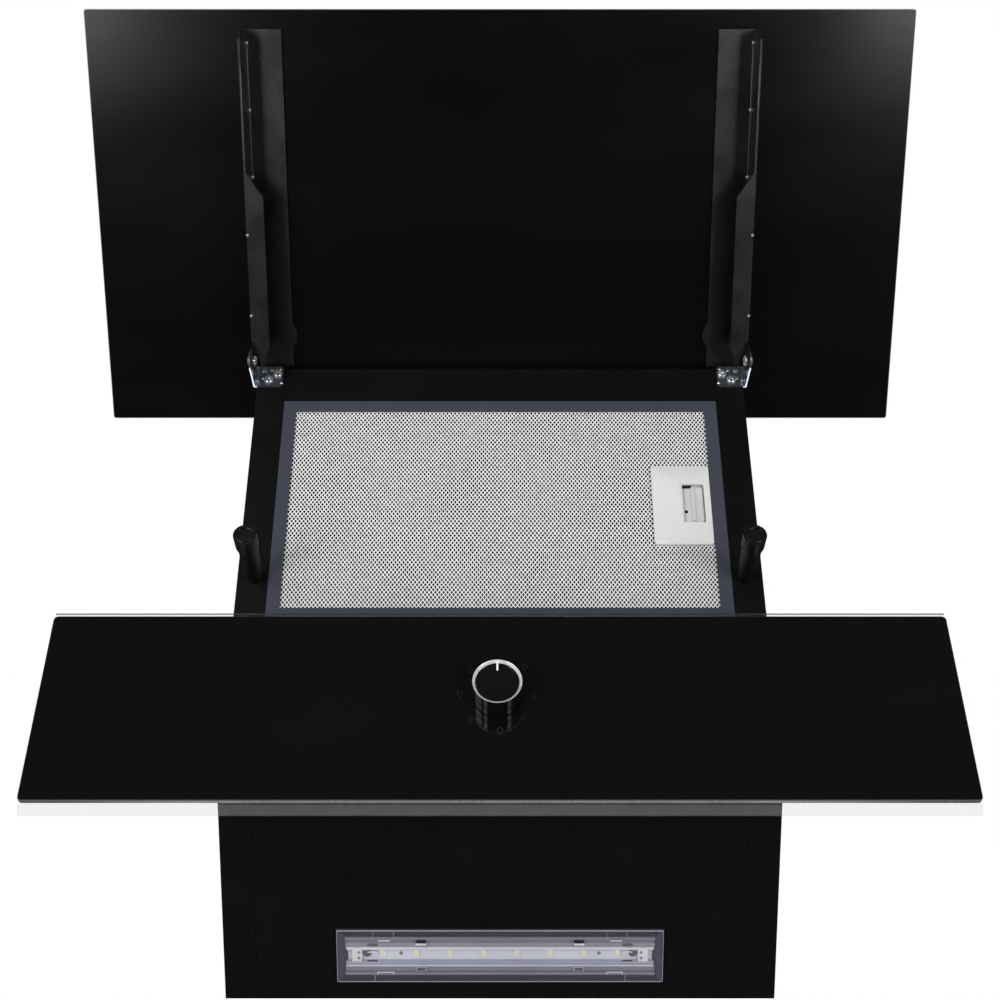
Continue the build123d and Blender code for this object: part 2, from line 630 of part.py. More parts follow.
def motor_body():
    can = fan_axis_rod(38, 8, 62)
    can = fillet(can.edges().group_by(Axis.X)[0], 4)
    return can - fan_axis_rod(4.06, 0, 100)


def motor_shaft():
    return fan_axis_rod(4, -8, 60)


def motor_bracket():
    """Ring with three arms, screwed to the right wall of the blower housing."""
    ring = fan_axis_rod(38, FAN_HALF, FAN_HALF + 2)
    y, z = -FAN_CENTRE[0], FAN_CENTRE[1]
    for i in range(3):
        spoke = Location((FAN_HALF + 1, y, z), (120 * i + 90, 0, 0))
        ring += spoke * Location((0, 33.5, 0)) * Box(2, 67, 14)
    return ring - fan_axis_rod(15, 0, 100)


# ---- outlet -------------------------------------------------------------------------------------
OUTLET_TOP = BODY_HEIGHT + OUTLET_RISE
DAMPER_Z = BODY_HEIGHT + 22.0
DAMPER_R = 56.6
DAMPER_PIN_R = 1.5
DAMPER_THICK = 1.0
STOP_DROP = 0.6


def outlet_collar():
    """Flanged spigot for the duct, with a ledge that the damper flaps close on."""
    def disc(radius, z_from, z_to):
        return rod(radius, (0, -OUTLET_CENTRE, z_from), (0, -OUTLET_CENTRE, z_to), "Z")

    flange_ys = (-OUTLET_CENTRE - 68, -OUTLET_CENTRE + 68)
    flange = block((-68, 68), flange_ys, (BODY_HEIGHT, BODY_HEIGHT + 2))
    collar = flange + disc(OUTLET_R, BODY_HEIGHT, OUTLET_TOP)
    collar -= disc(OUTLET_R - 2, BODY_HEIGHT - 1, OUTLET_TOP + 1)
    ledge_top = DAMPER_Z - DAMPER_THICK / 2 - STOP_DROP
    ledge = disc(OUTLET_R - 1, ledge_top - 2, ledge_top) - disc(OUTLET_R - 5, 0, 400)
    collar += ledge
    ends = OUTLET_R - 2.4
    collar += damper_axis_rod(3.2, ends + 1) - disc(OUTLET_R - 4.5, 0, 400)
    return collar - damper_pin()


def damper_axis_rod(radius, half):
    return rod(radius, (-half, -OUTLET_CENTRE, DAMPER_Z), (half, -OUTLET_CENTRE, DAMPER_Z), "X")


def damper_pin():
    return damper_axis_rod(DAMPER_PIN_R, 58)


def damper_flap(side):
    """Half disc on its own pair of knuckles; side is -1 for the front flap and 1 for the rear."""
    half = DAMPER_THICK / 2
    centre = (0, -OUTLET_CENTRE)
    disc = rod(DAMPER_R, (0, centre[1], DAMPER_Z - half), (0, centre[1], DAMPER_Z + half), "Z")
    near = centre[1] + side * 3.8
    far = centre[1] + side * 70
    flap = disc & block((-54, 54), (min(near, far), max(near, far)), (0, 400))
    spans = ((-46, -32), (8, 22)) if side < 0 else ((-22, -8), (32, 46))
    for x_from, x_to in spans:
        flap += rod(2.9, (x_from, centre[1], DAMPER_Z), (x_to, centre[1], DAMPER_Z), "X")
        ys = (centre[1], near)
        flap += block((x_from, x_to), (min(ys), max(ys) + 0.01), (DAMPER_Z - half, DAMPER_Z + half))
    return flap - damper_axis_rod(DAMPER_PIN_R + 0.05, 60)


# ---- electrics ----------------------------------------------------------------------------------
def capacitor():
    body = rod(13, (*CAPACITOR_AT, 150), (*CAPACITOR_AT, 200), "Z")
    return body + rod(4, (*CAPACITOR_AT, 200), (*CAPACITOR_AT, 208), "Z")


def capacitor_clip():
    x, y = CAPACITOR_AT
    clip = rod(14.2, (x, y, 170), (x, y, 180), "Z")
    clip += block((x - 8, x + 8), (y + 10, -SHEET), (170, 180))
    return clip - rod(13.05, (x, y, 0), (x, y, 300), "Z")


def terminal_box():
    box = block((-150, -90), (-33, -SHEET), (110, 165))
    box -= block((-148, -92), (-31, -SHEET - 2), (112, 163))
    return box - rod(4, (-120, -25, 160), (-120, -25, 170), "Z")


def terminal_block():
    return block((-140, -100), (-20, -SHEET - 2), (125, 140))


def lamp_driver():
    return block((60, 130), (-44, -20), (LAMP_DEPTH + 3, LAMP_DEPTH + 21))


def lamp_driver_bracket():
    foot = block((56, 134), (-50, -14), (LAMP_DEPTH + 1.8, LAMP_DEPTH + 3))
    leg = block((134, 135.2), (-50, -14), (SHEET, LAMP_DEPTH + 3))
    return foot + leg


def cable_bush():
    def disc(radius, z_from, z_to):
        return rod(radius, (*CABLE_AT, z_from), (*CABLE_AT, z_to), "Z")

    bush = disc(9, BODY_HEIGHT - SHEET, BODY_HEIGHT)
    bush += disc(11.5, BODY_HEIGHT, BODY_HEIGHT + 2.5)
    bush += disc(11, BODY_HEIGHT - 4, BODY_HEIGHT - SHEET)
    return bush - disc(4.2, 200, 300)


def screws_into_top():
    """Four screws that hold the outlet collar down."""
    screws = []
    for x in (-61, 61):
        for y in (-OUTLET_CENTRE - 61, -OUTLET_CENTRE + 61):
            top = BODY_HEIGHT + 2
            screw = rod(3.4, (x, y, top), (x, y, top + 1.8), "Z")
            screws.append(screw)
    return screws


# ---- write --------------------------------------------------------------------------------------
def main():
    os.makedirs("parts", exist_ok=True)
    right = side_panel(PRONG_U, 4.6, (-6.6, -2.4))
    left = mirrored(side_panel(TAB_U, 5.4, (-8.8, -6.8)))
    left_blower, right_blower = blower_housing()
    save("back_panel", back_panel())
    save("side_panel_right", right)
    save("side_panel_left", left)
    save("underside_panel", underside_panel())
    save("top_panel", top_panel())
    save("face_top_strip", face_top_strip())
    save("face_bottom_strip", face_bottom_strip())
    save("filter_frame", *filter_rails())
    save("filter_mesh", filter_mesh())
    save("filter_tabs", *filter_tabs())
    save("latch_plate", latch_plate())
    save("latch_slider", latch_slider())
    save("latch_springs", *latch_spring())
    save("lower_glass", lower_glass())
    save("glass_carrier", glass_carrier())
    save("edge_strip", edge_strip())
    save("knob_body", knob_body())
    save("knob_ring", knob_ring())
    save("knob_pointer", knob_pointer())
    save("switch_shaft", switch_shaft())
    save("rotary_switch", rotary_switch())
    save("flap_glass", flap_glass())
    right_arm = arm()
    save("flap_arm_right", right_arm)
    save("flap_arm_left", mirrored(right_arm))
    save("arm_bonds", *arm_bonds())
    bracket = hinge_bracket()
    save("hinge_bracket_right", bracket)
    save("hinge_bracket_left", mirrored(bracket))
    save("pivot_rivets", *both(pivot_rivet()))
    save("friction_washers", *both(friction_washer()))
    screws = [bracket_screw(x, u) for x, u in BRACKET_SCREWS]
    save("hinge_screws", *[piece for screw in screws for piece in both(screw)])
    save("catch_posts", *both(catch_post()))
    save("post_screws", *both(post_screw()))
    save("catch_magnets", *both(catch_magnet()))
    save("lamp_housing", lamp_housing())
    save("lamp_cover", lamp_cover())
    save("led_board", led_board())
    save("led_chips", *led_chips())
    save("lamp_connectors", *lamp_connectors())
    save("lamp_driver", lamp_driver())
    save("lamp_driver_bracket", lamp_driver_bracket())
    save("blower_housing_left", left_blower)
    save("blower_housing_right", right_blower)
    save("impeller", impeller())
    save("motor_body", motor_body())
    save("motor_shaft", motor_shaft())
    save("motor_bracket", motor_bracket())
    save("outlet_collar", outlet_collar())
    save("damper_pin", damper_pin())
    save("damper_flap_front", damper_flap(-1))
    save("damper_flap_rear", damper_flap(1))
    save("collar_screws", *screws_into_top())
    save("capacitor", capacitor())
    save("capacitor_clip", capacitor_clip())
    save("terminal_box", terminal_box())
    save("terminal_block", terminal_block())
    save("cable_bush", cable_bush())


main()
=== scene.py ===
"""Looks of the angled cooker hood: materials, glass, mesh filter, knob, lamp, light and camera.

Lengths in the piece builders are in millimetres in a local frame, and MM turns them into metres.
"""

import json
import math
import random

import bmesh
import bpy
from mathutils import Matrix, Vector


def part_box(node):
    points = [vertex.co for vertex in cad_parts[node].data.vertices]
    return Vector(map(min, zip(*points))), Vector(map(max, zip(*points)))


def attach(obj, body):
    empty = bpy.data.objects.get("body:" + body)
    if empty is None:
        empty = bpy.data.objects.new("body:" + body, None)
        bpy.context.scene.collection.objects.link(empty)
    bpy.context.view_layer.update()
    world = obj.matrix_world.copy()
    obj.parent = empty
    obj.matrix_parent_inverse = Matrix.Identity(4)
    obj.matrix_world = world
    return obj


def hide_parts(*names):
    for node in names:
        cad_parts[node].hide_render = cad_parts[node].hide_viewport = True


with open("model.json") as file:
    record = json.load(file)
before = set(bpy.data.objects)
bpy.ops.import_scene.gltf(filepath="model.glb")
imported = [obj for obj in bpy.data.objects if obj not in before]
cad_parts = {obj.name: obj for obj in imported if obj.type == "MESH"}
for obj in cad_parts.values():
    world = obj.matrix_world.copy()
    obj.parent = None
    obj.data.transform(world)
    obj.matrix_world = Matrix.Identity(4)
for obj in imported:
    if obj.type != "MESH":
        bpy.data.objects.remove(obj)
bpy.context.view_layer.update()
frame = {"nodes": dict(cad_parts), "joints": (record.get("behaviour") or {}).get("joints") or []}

MM = 0.001
JOINTS = {joint["name"]: joint for joint in frame["joints"]}


# ---- local frames -------------------------------------------------------------------------------
def local_frame(origin, out):
    """Matrix of a frame whose z axis is `out`, with x along the hood, in metres."""
    z = Vector(out).normalized()
    x = Vector((1, 0, 0))
    y = z.cross(x)
    turn = Matrix((x, y, z)).transposed().to_4x4()
    return Matrix.Translation(Vector(origin)) @ turn


FACE_SLOPE = math.radians(45.8)
UNDERSIDE_DEPTH = 157.4 * MM
UNDERSIDE_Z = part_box("underside_panel")[0].z
FACE_OUT = (0, -math.sin(FACE_SLOPE), -math.cos(FACE_SLOPE))
FACE = local_frame((0, -UNDERSIDE_DEPTH, UNDERSIDE_Z), FACE_OUT)
KNOB_POS = Vector(JOINTS["knob_spin"]["pos_m"])
KNOB = local_frame(KNOB_POS, JOINTS["knob_spin"]["axis"])
GLASS = local_frame((0, KNOB_POS.y, KNOB_POS.z), JOINTS["knob_spin"]["axis"])
PIVOT = Vector(JOINTS["flap_hinge"]["pos_m"])
DROOP = math.radians(4.7)
FLAP = local_frame(PIVOT, (0, -math.sin(DROOP), math.cos(DROOP)))
UNDER = Matrix.Translation(Vector((0, 0, UNDERSIDE_Z)))


# ---- node helpers -------------------------------------------------------------------------------
class Shader:
    """A material with a Principled shader and short calls for its procedural detail."""

    def __init__(self, name, colour, roughness, **constants):
        self.material = bpy.data.materials.new(name)
        self.material.use_nodes = True
        self.tree = self.material.node_tree
        self.nodes = self.tree.nodes
        self.bsdf = self.nodes["Principled BSDF"]
        self.place = self.nodes.new("ShaderNodeTexCoord").outputs["Object"]
        self.set("Base Color", (*colour, 1))
        self.set("Roughness", roughness)
        for key, value in constants.items():
            self.set(key.replace("_", " "), value)

    def set(self, socket, value):
        self.bsdf.inputs[socket].default_value = value

    def link(self, output, target):
        self.tree.links.new(output, target)

    def mapped(self, scale, turn=(0, 0, 0)):
        node = self.nodes.new("ShaderNodeMapping")
        node.inputs["Scale"].default_value = scale
        node.inputs["Rotation"].default_value = turn
        self.link(self.place, node.inputs["Vector"])
        return node.outputs["Vector"]

    def noise(self, scale, detail, vector=None):
        node = self.nodes.new("ShaderNodeTexNoise")
        node.inputs["Scale"].default_value = scale
        node.inputs["Detail"].default_value = detail
        self.link(vector or self.place, node.inputs["Vector"])
        return node.outputs["Fac"]

    def cells(self, scale):
        node = self.nodes.new("ShaderNodeTexVoronoi")
        node.inputs["Scale"].default_value = scale
        self.link(self.place, node.inputs["Vector"])
        return node.outputs["Color"]

    def ramp(self, fac, stops):
        """stops are (position, colour) pairs."""
        node = self.nodes.new("ShaderNodeValToRGB")
        ramp = node.color_ramp
        while len(ramp.elements) < len(stops):
            ramp.elements.new(0.5)
        for element, (position, colour) in zip(ramp.elements, stops):
            element.position = position
            element.color = (*colour, 1)
        self.link(fac, node.inputs["Fac"])
        return node.outputs["Color"]

    def span(self, fac, low, high):
        """Map the middle of a noise, where most of its values lie, onto low to high."""
        node = self.nodes.new("ShaderNodeMapRange")
        node.inputs["From Min"].default_value = 0.3
        node.inputs["From Max"].default_value = 0.7
        node.inputs["To Min"].default_value = low
        node.inputs["To Max"].default_value = high
        self.link(fac, node.inputs["Value"])
        return node.outputs["Result"]

    def colour(self, output):
        self.link(output, self.bsdf.inputs["Base Color"])

    def roughness(self, output):
        self.link(output, self.bsdf.inputs["Roughness"])

    def bump(self, height, strength, distance):
        """Add a bump on top of any there already."""
        node = self.nodes.new("ShaderNodeBump")
        node.inputs["Strength"].default_value = strength
        node.inputs["Distance"].default_value = distance
        self.link(height, node.inputs["Height"])
        previous = self.bsdf.inputs["Normal"]
        if previous.is_linked:
            self.link(previous.links[0].from_socket, node.inputs["Normal"])
        self.link(node.outputs["Normal"], previous)


def shade(colour, factor):
    """The colour made lighter or darker."""
    return tuple(min(channel * factor, 1.0) for channel in colour)


def powder_coat(name, colour, roughness, gloss):
    """Fine textured powder coat: slight orange peel, cloudy tone, faint dust."""
    coat = Shader(name, colour, roughness, Specular_IOR_Level=gloss)
    cloud = coat.noise(14, 4)
    coat.colour(coat.ramp(cloud, ((0.3, shade(colour, 0.92)), (0.7, shade(colour, 1.08)))))
    coat.roughness(coat.span(coat.noise(40, 5), roughness - 0.05, roughness + 0.06))
    coat.bump(coat.noise(2600, 2), 0.25, 0.00006)
    coat.bump(coat.noise(420, 2), 0.12, 0.00010)
    return coat.material


def paint_glass(name, colour, roughness, gloss):
    """Back painted glass: very smooth, with faint wipe marks in the gloss."""
    glass = Shader(name, colour, roughness, Specular_IOR_Level=gloss)
    haze = glass.noise(6, 5, vector=glass.mapped((1, 3, 1), (0, 0, 0.5)))
    glass.colour(glass.ramp(haze, ((0.35, shade(colour, 0.9)), (0.7, shade(colour, 1.15)))))
    glass.roughness(glass.span(haze, roughness * 0.9, roughness * 1.15))
    return glass.material


def metal(name, colour, roughness, bump):
    """Plain metal with a fine grain and soft tone changes."""
    steel = Shader(name, colour, roughness, Metallic=1.0)
    grain = steel.noise(300, 4)
    patch = steel.noise(35, 3)
    steel.colour(steel.ramp(patch, ((0.3, shade(colour, 0.88)), (0.7, shade(colour, 1.08)))))
    steel.roughness(steel.span(grain, roughness * 0.75, roughness * 1.3))
    steel.bump(grain, bump, 0.0001)
    return steel.material


def foil(name, colour, roughness, mirror=0.45):
    """Bright aluminium, partly mirror and partly matt, with small tone changes."""
    sheet = Shader(name, colour, roughness, Metallic=mirror)
    patch = sheet.noise(260, 3)
    sheet.colour(sheet.ramp(patch, ((0.3, shade(colour, 0.86)), (0.7, shade(colour, 1.06)))))
    sheet.roughness(sheet.span(sheet.noise(500, 3), roughness * 0.8, roughness * 1.25))
    return sheet.material


def zinc(name, colour, mirror, rough):
    """Bright zinc plate, slightly uneven, with its spangle."""
    plate = Shader(name, colour, rough, Metallic=mirror)
    spangle = plate.cells(260)
    plate.colour(plate.ramp(spangle, ((0.0, shade(colour, 0.75)), (1.0, shade(colour, 1.2)))))
    plate.roughness(plate.span(plate.noise(700, 3), rough * 0.7, rough * 1.3))
    plate.bump(plate.noise(330, 2), 0.5, 0.0005)
    return plate.material


def moulded(name, colour, roughness, grain=900, bump=0.1):
    """Moulded plastic: spark-eroded grain, slight mottling."""
    plastic = Shader(name, colour, roughness)
    flow = plastic.noise(18, 3)
    plastic.colour(plastic.ramp(flow, ((0.3, shade(colour, 0.94)), (0.7, shade(colour, 1.05)))))
    plastic.roughness(plastic.span(plastic.noise(120, 3), roughness - 0.04, roughness + 0.05))
    plastic.bump(plastic.noise(grain, 2), bump, 0.00008)
    return plastic.material


def clear_plastic(name, colour, alpha, roughness):
    """Clear moulded plastic, seen through by its alpha."""
    clear = Shader(name, colour, roughness, Alpha=alpha, IOR=1.49)
    flow = clear.noise(30, 3, vector=clear.mapped((0.3, 3, 3)))
    clear.colour(clear.ramp(flow, ((0.3, shade(colour, 0.93)), (0.7, shade(colour, 1.05)))))
    clear.roughness(clear.span(clear.noise(200, 2), roughness * 0.8, roughness * 1.3))
    clear.bump(flow, 0.1, 0.0002)
    return clear.material


M = {
    "body": powder_coat("powder_coat_black", (0.0024, 0.0024, 0.0024), 0.5, 0.2),
    "arm": powder_coat("powder_coat_arm", (0.002, 0.002, 0.0024), 0.28, 1.0),
    "glass": paint_glass("glass_black", (0.0028, 0.0028, 0.0029), 0.035, 0.5),
    "glass_back": paint_glass("glass_back_paint", (0.0021, 0.0021, 0.0021), 0.20, 0.215),
    "glass_edge": moulded("glass_polished_edge", (0.24, 0.25, 0.25), 0.22, 2000, 0.05),
    "glass_foot": moulded("glass_bottom_edge", (0.075, 0.078, 0.08), 0.25, 2000, 0.05),
    "glass_clear": clear_plastic("glass_unpainted_border", (0.12, 0.125, 0.13), 0.08, 0.05),
    "glass_ground": clear_plastic("glass_ground_edge", (0.05, 0.053, 0.058), 0.5, 0.3),
    "zinc": zinc("zinc_plate", (0.50, 0.545, 0.62), 0.95, 0.2),
    "frame": moulded("filter_frame_grey", (0.048, 0.0525, 0.071), 0.36, 700, 0.05),
    "mesh": foil("filter_mesh_bright", (0.97, 0.97, 0.975), 0.36, 0.1),
    # Inner mesh layers: the same aluminium as the front layer, darkened as painted shade inside the
    # filter.
    "mesh_inner_painted_shade": foil("filter_mesh_inner_painted_shade", (0.08, 0.08, 0.08), 0.4, 0.2),
    "mesh_core_painted_shade": foil("filter_mesh_core", (0.03, 0.03, 0.03), 0.5, 0.2),
    "grey": moulded("latch_plastic", (0.67, 0.67, 0.665), 0.45),
    # Darker copy of the latch plastic for the recess floor and the bolt: painted shade in the window.
    "grey_painted_shade": moulded("latch_plastic_painted_shade", (0.54, 0.54, 0.535), 0.5),
    "clear": clear_plastic("strip_clear", (0.34, 0.34, 0.345), 0.113, 0.2),
    "knob": moulded("knob_gloss", (0.0042, 0.0042, 0.0043), 0.12, 1500, 0.03),
    "chrome": foil("knob_chrome", (0.86, 0.87, 0.90), 0.3),
    "white": moulded("pointer_white", (0.82, 0.82, 0.82), 0.4),
    "icon": moulded("icon_print", (0.014, 0.016, 0.021), 0.5),
    "steel": metal("steel_plain", (0.55, 0.56, 0.58), 0.32, 0.05),
    # Lighter paint for the fold lines and the dimple tips on the arms: painted highlights.
    "fold": powder_coat("powder_coat_fold_highlight", (0.055, 0.055, 0.057), 0.35, 0.8),
    "dimple_highlight": powder_coat("powder_coat_dimple_highlight", (0.26, 0.26, 0.265), 0.35, 0.5),
    "post": powder_coat("post_lacquer", (0.005, 0.005, 0.0053), 0.45, 0.22),
    "magnet": moulded("magnet_lacquer", (0.004, 0.004, 0.0042), 0.3, 900, 0.05),
    "dark": moulded("dark_plastic", (0.022, 0.022, 0.024), 0.5, 500, 0.2),
    "damper": moulded("damper_plastic", (0.035, 0.035, 0.037), 0.45, 500, 0.2),
    "rubber": moulded("bush_rubber", (0.012, 0.012, 0.012), 0.7, 500, 0.2),
    "lamp": moulded("lamp_tray", (0.046, 0.046, 0.074), 0.35),
    "lamp_rib": moulded("lamp_rib", (0.17, 0.17, 0.215), 0.35),
    "lamp_groove": moulded("lamp_groove", (0.17, 0.175, 0.185), 0.45),
    "lamp_grey_wall": moulded("lamp_channel_front", (0.24, 0.24, 0.27), 0.4),
    # Dark grey for shaded spots in the lamp: painted shadow.
    "lamp_shadow": moulded("lamp_painted_shadow", (0.07, 0.07, 0.085), 0.45),
    "lamp_lilac": moulded("lamp_channel_rear", (0.30, 0.30, 0.40), 0.4),
    "lamp_edge": moulded("lamp_lens_edge", (0.34, 0.34, 0.36), 0.25),
    # Near black for holes, slots and gaps: painted shade.
    "hole": moulded("hole_painted_shade", (0.003, 0.003, 0.003), 0.8),
    # Bright zinc of the screws and rivets; on the bracket's pressed beads it is a painted glint.
    "bright": zinc("bright_zinc_and_glint", (0.86, 0.885, 0.93), 0.85, 0.16),
    # White of the lamp channel; where it makes the channel's front band and thin rear line it is a
    # painted highlight.
    "lamp_white_and_highlight": moulded("lamp_channel", (0.60, 0.61, 0.68), 0.4),
    "lamp_clear": clear_plastic("lamp_cover_clear", (0.26, 0.26, 0.31), 0.1, 0.12),
    "board": moulded("board_mask", (0.60, 0.61, 0.67), 0.35),
    "led": moulded("led_phosphor", (0.72, 0.72, 0.38), 0.4),
    "led_case": moulded("led_case", (0.78, 0.78, 0.76), 0.4),
    "white_plastic": moulded("connector_plastic", (0.66, 0.66, 0.66), 0.45),
    "foam": moulded("bond_foam", (0.010, 0.010, 0.010), 0.8, 400, 0.3),
}


# ---- mesh helpers -------------------------------------------------------------------------------
def new_object(name, bm, materials, body, where, smooth=35.0):
    """Turn a bmesh drawn in millimetres in a local frame into a finished piece."""
    bmesh.ops.recalc_face_normals(bm, faces=bm.faces)
    mesh = bpy.data.meshes.new(name)
    matrix = where @ Matrix.Scale(MM, 4)
    bmesh.ops.transform(bm, matrix=matrix, verts=bm.verts)
    bm.to_mesh(mesh)
    bm.free()
    for key in materials:
        mesh.materials.append(M[key])
    piece = bpy.data.objects.new(name, mesh)
    bpy.context.collection.objects.link(piece)
    mesh.shade_smooth()
    mesh.set_sharp_from_angle(angle=math.radians(smooth))
    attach(piece, body)
    return piece


def add_box(bm, xs, ys, zs, bevel=0.0, segments=2, material=0):
    """A box between two planes on each axis, with rounded edges where bevel isn't 0."""
    faces_before = set(bm.faces)
    made = bmesh.ops.create_cube(bm, size=1.0)["verts"]
    size = Vector((abs(xs[1] - xs[0]), abs(ys[1] - ys[0]), abs(zs[1] - zs[0])))
    middle = Vector(((xs[0] + xs[1]) / 2, (ys[0] + ys[1]) / 2, (zs[0] + zs[1]) / 2))
    bmesh.ops.scale(bm, vec=size, verts=made)
    bmesh.ops.translate(bm, vec=middle, verts=made)
    if bevel:
        edges = [edge for edge in bm.edges if edge.verts[0] in made]
        bmesh.ops.bevel(bm, geom=edges, offset=bevel, segments=segments, affect="EDGES", profile=0.5)
    for face in set(bm.faces) - faces_before:
        face.material_index = material


def add_lathe(bm, profile, at=Matrix.Identity(4), steps=64, materials=None, close=False):
    """Spin (radius, z) points about the z axis of `at`; materials has one index per span."""
    rings = []
    for radius, z in profile:
        count = 1 if radius < 1e-6 else steps
        ring = []
        for i in range(count):
            a = 2 * math.pi * i / steps
            ring.append(bm.verts.new(at @ Vector((radius * math.cos(a), radius * math.sin(a), z))))
        rings.append(ring)
    spans = list(zip(rings, rings[1:]))
    if close:
        spans.append((rings[-1], rings[0]))
    for k, (low, high) in enumerate(spans):
        for i in range(steps):
            j = (i + 1) % steps
            corners = [low[i % len(low)], low[j % len(low)], high[j % len(high)], high[i % len(high)]]
            unique = list(dict.fromkeys(corners))
            if len(unique) < 3:
                continue
            face = bm.faces.new(unique)
            face.material_index = materials[k] if materials else 0


def add_cross_head(bm, at, radius, height):
    """Pan head of a screw with a cross recess, its seat at the origin of `at`."""
    slot, width, depth, steps = 2.0, 0.42, 1.1, 28
    flat = radius * 0.72
    add_lathe(bm, [(radius * 0.92, 0), (radius, height * 0.25), (radius * 0.97, height * 0.6),
                   (radius * 0.86, height * 0.88), (flat, height)], at, steps)
    rim = []
    for i in range(steps):
        a = 2 * math.pi * i / steps
        rim.append(bm.verts.new(at @ Vector((flat * math.cos(a), flat * math.sin(a), height))))
    plus = []
    for quarter in range(4):
        turn = Matrix.Rotation(quarter * math.pi / 2, 4, "Z")
        for x, y in ((width, slot), (-width, slot), (-width, width)):
            plus.append(turn @ Vector((x, y, height)))
    top = [bm.verts.new(at @ point) for point in plus]
    low = [bm.verts.new(at @ Vector((point.x * 0.7, point.y * 0.7, height - depth))) for point in plus]
    edges = []
    for loop in (rim, top):
        for i, vert in enumerate(loop):
            edges.append(bm.edges.new((vert, loop[(i + 1) % len(loop)])))
    bmesh.ops.triangle_fill(bm, use_beauty=True, edges=edges)
    for i in range(len(top)):
        j = (i + 1) % len(top)
        bm.faces.new((top[i], top[j], low[j], low[i]))
    bm.faces.new(low)
    bmesh.ops.remove_doubles(bm, verts=bm.verts, dist=0.001)


def add_extrusion(bm, sections):
    """Close the solid between two copies of one outline."""
    near, far = ([bm.verts.new(point) for point in section] for section in sections)
    for i in range(len(near)):
        j = (i + 1) % len(near)
        bm.faces.new((near[i], near[j], far[j], far[i]))
    bm.faces.new(near)
    bm.faces.new(list(reversed(far)))


def rounded_outline(x0, x1, y0, y1, radius, steps=8):
    """Corner points of a rounded rectangle, anticlockwise."""
    points = []
    corners = ((x1 - radius, y1 - radius, 0), (x0 + radius, y1 - radius, 90),
               (x0 + radius, y0 + radius, 180), (x1 - radius, y0 + radius, 270))
    for cx, cy, start in corners:
        for i in range(steps + 1):
            a = math.radians(start + 90 * i / steps)
            points.append((cx + radius * math.cos(a), cy + radius * math.sin(a)))
    return points


def add_slab(bm, outline_at, levels, caps, sides):
    """Stack closed outlines; outline_at(inset) gives the points, levels are (z, inset)."""
    rings = []
    for z, inset in levels:
        rings.append([bm.verts.new((x, y, z)) for x, y in outline_at(inset)])
    for low, high in zip(rings, rings[1:]):
        count = len(low)
        for i in range(count):
            j = (i + 1) % count
            bm.faces.new((low[i], low[j], high[j], high[i])).material_index = sides
    bm.faces.new(list(reversed(rings[0]))).material_index = caps[0]
    bm.faces.new(rings[-1]).material_index = caps[1]


def finish_cad(node, key, bevel, sharp):
    """Give a carried-over CAD node its material, and soften edges sharper than `sharp` degrees."""
    piece = frame["nodes"][node]
    mesh = piece.data
    mesh.materials.clear()
    mesh.materials.append(M[key])
    flat = piece.modifiers.new("flat", "DECIMATE")
    flat.decimate_type = "DISSOLVE"
    flat.angle_limit = math.radians(0.5)
    soft = piece.modifiers.new("soft", "BEVEL")
    soft.width = bevel * MM
    soft.segments = 2
    soft.limit_method = "ANGLE"
    soft.angle_limit = math.radians(sharp)
    soft.harden_normals = True
    soft.use_clamp_overlap = True


# ---- glass panels -------------------------------------------------------------------------------
GLASS_THICK = 4.0
LOWER_GLASS_Y = (-74.7, 62.8)          # the painted part, from the knob's axis
LOWER_GLASS_TOP = 65.2                 # top of the clear border
FLAP_GLASS_Y = (-250.7, 53.3)          # from the pivot
FLAP_GLASS_Z = 34.7


def glass_panel(name, node, body, where, ys, zs, radius, edge):
    """Toughened glass with ground edges and a fine arris; the painted side is its back."""
    half = (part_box(node)[1].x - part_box(node)[0].x) / 2 / MM
    arris = 0.5
    bm = bmesh.new()

    def outline_at(inset):
        return rounded_outline(-half + inset, half - inset, ys[0] + inset, ys[1] - inset,
                               max(radius - inset, 0.4))

    levels = [(zs[0], arris), (zs[0] + arris, 0), (zs[1] - arris, 0), (zs[1], arris)]
    add_slab(bm, outline_at, levels, caps=(1, 0), sides=2)
    piece = new_object(name, bm, ("glass", "glass_back", edge), body, where, 20)
    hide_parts(node)


def lower_glass():
    """Painted panel, and its clear border with a ground edge."""
    depth = (-GLASS_THICK, 0.0)
    glass_panel("lower_glass_panel", "lower_glass", "hood", GLASS, LOWER_GLASS_Y, depth,
                radius=3.0, edge="glass_foot")
    bm = bmesh.new()
    border = (LOWER_GLASS_Y[1] - 0.3, LOWER_GLASS_TOP - 0.4)
    add_box(bm, (-299.4, 299.4), border, (-3.6, -0.4), 0.5, 3, 0)
    add_box(bm, (-299.2, 299.2), (LOWER_GLASS_TOP - 0.5, LOWER_GLASS_TOP), (-1.7, -0.3), 0.15, 2, 1)
    slots = ("glass_clear", "glass_ground")
    new_object("lower_glass_border", bm, slots, "hood", GLASS, 30)


def flap_glass():
    """Upper panel, on the two arms."""
    depth = (FLAP_GLASS_Z, FLAP_GLASS_Z + GLASS_THICK)
    glass_panel("flap_glass_panel", "flap_glass", "flap", FLAP, FLAP_GLASS_Y, depth,
                radius=2.0, edge="glass_edge")


# ---- grease filter ------------------------------------------------------------------------------
FILTER_X = 162.2
FILTER_U = (117.4, 304.4)
RAIL = 9.4
MESH_JITTER = 0.10
CORE_GAP = 1.2
CORE_N = (-4.0, -7.8)
CORE_PITCH = 4.2
LATCH_FROM = (112.0, 180.0, 243.0)     # the mesh stops under the latch plate


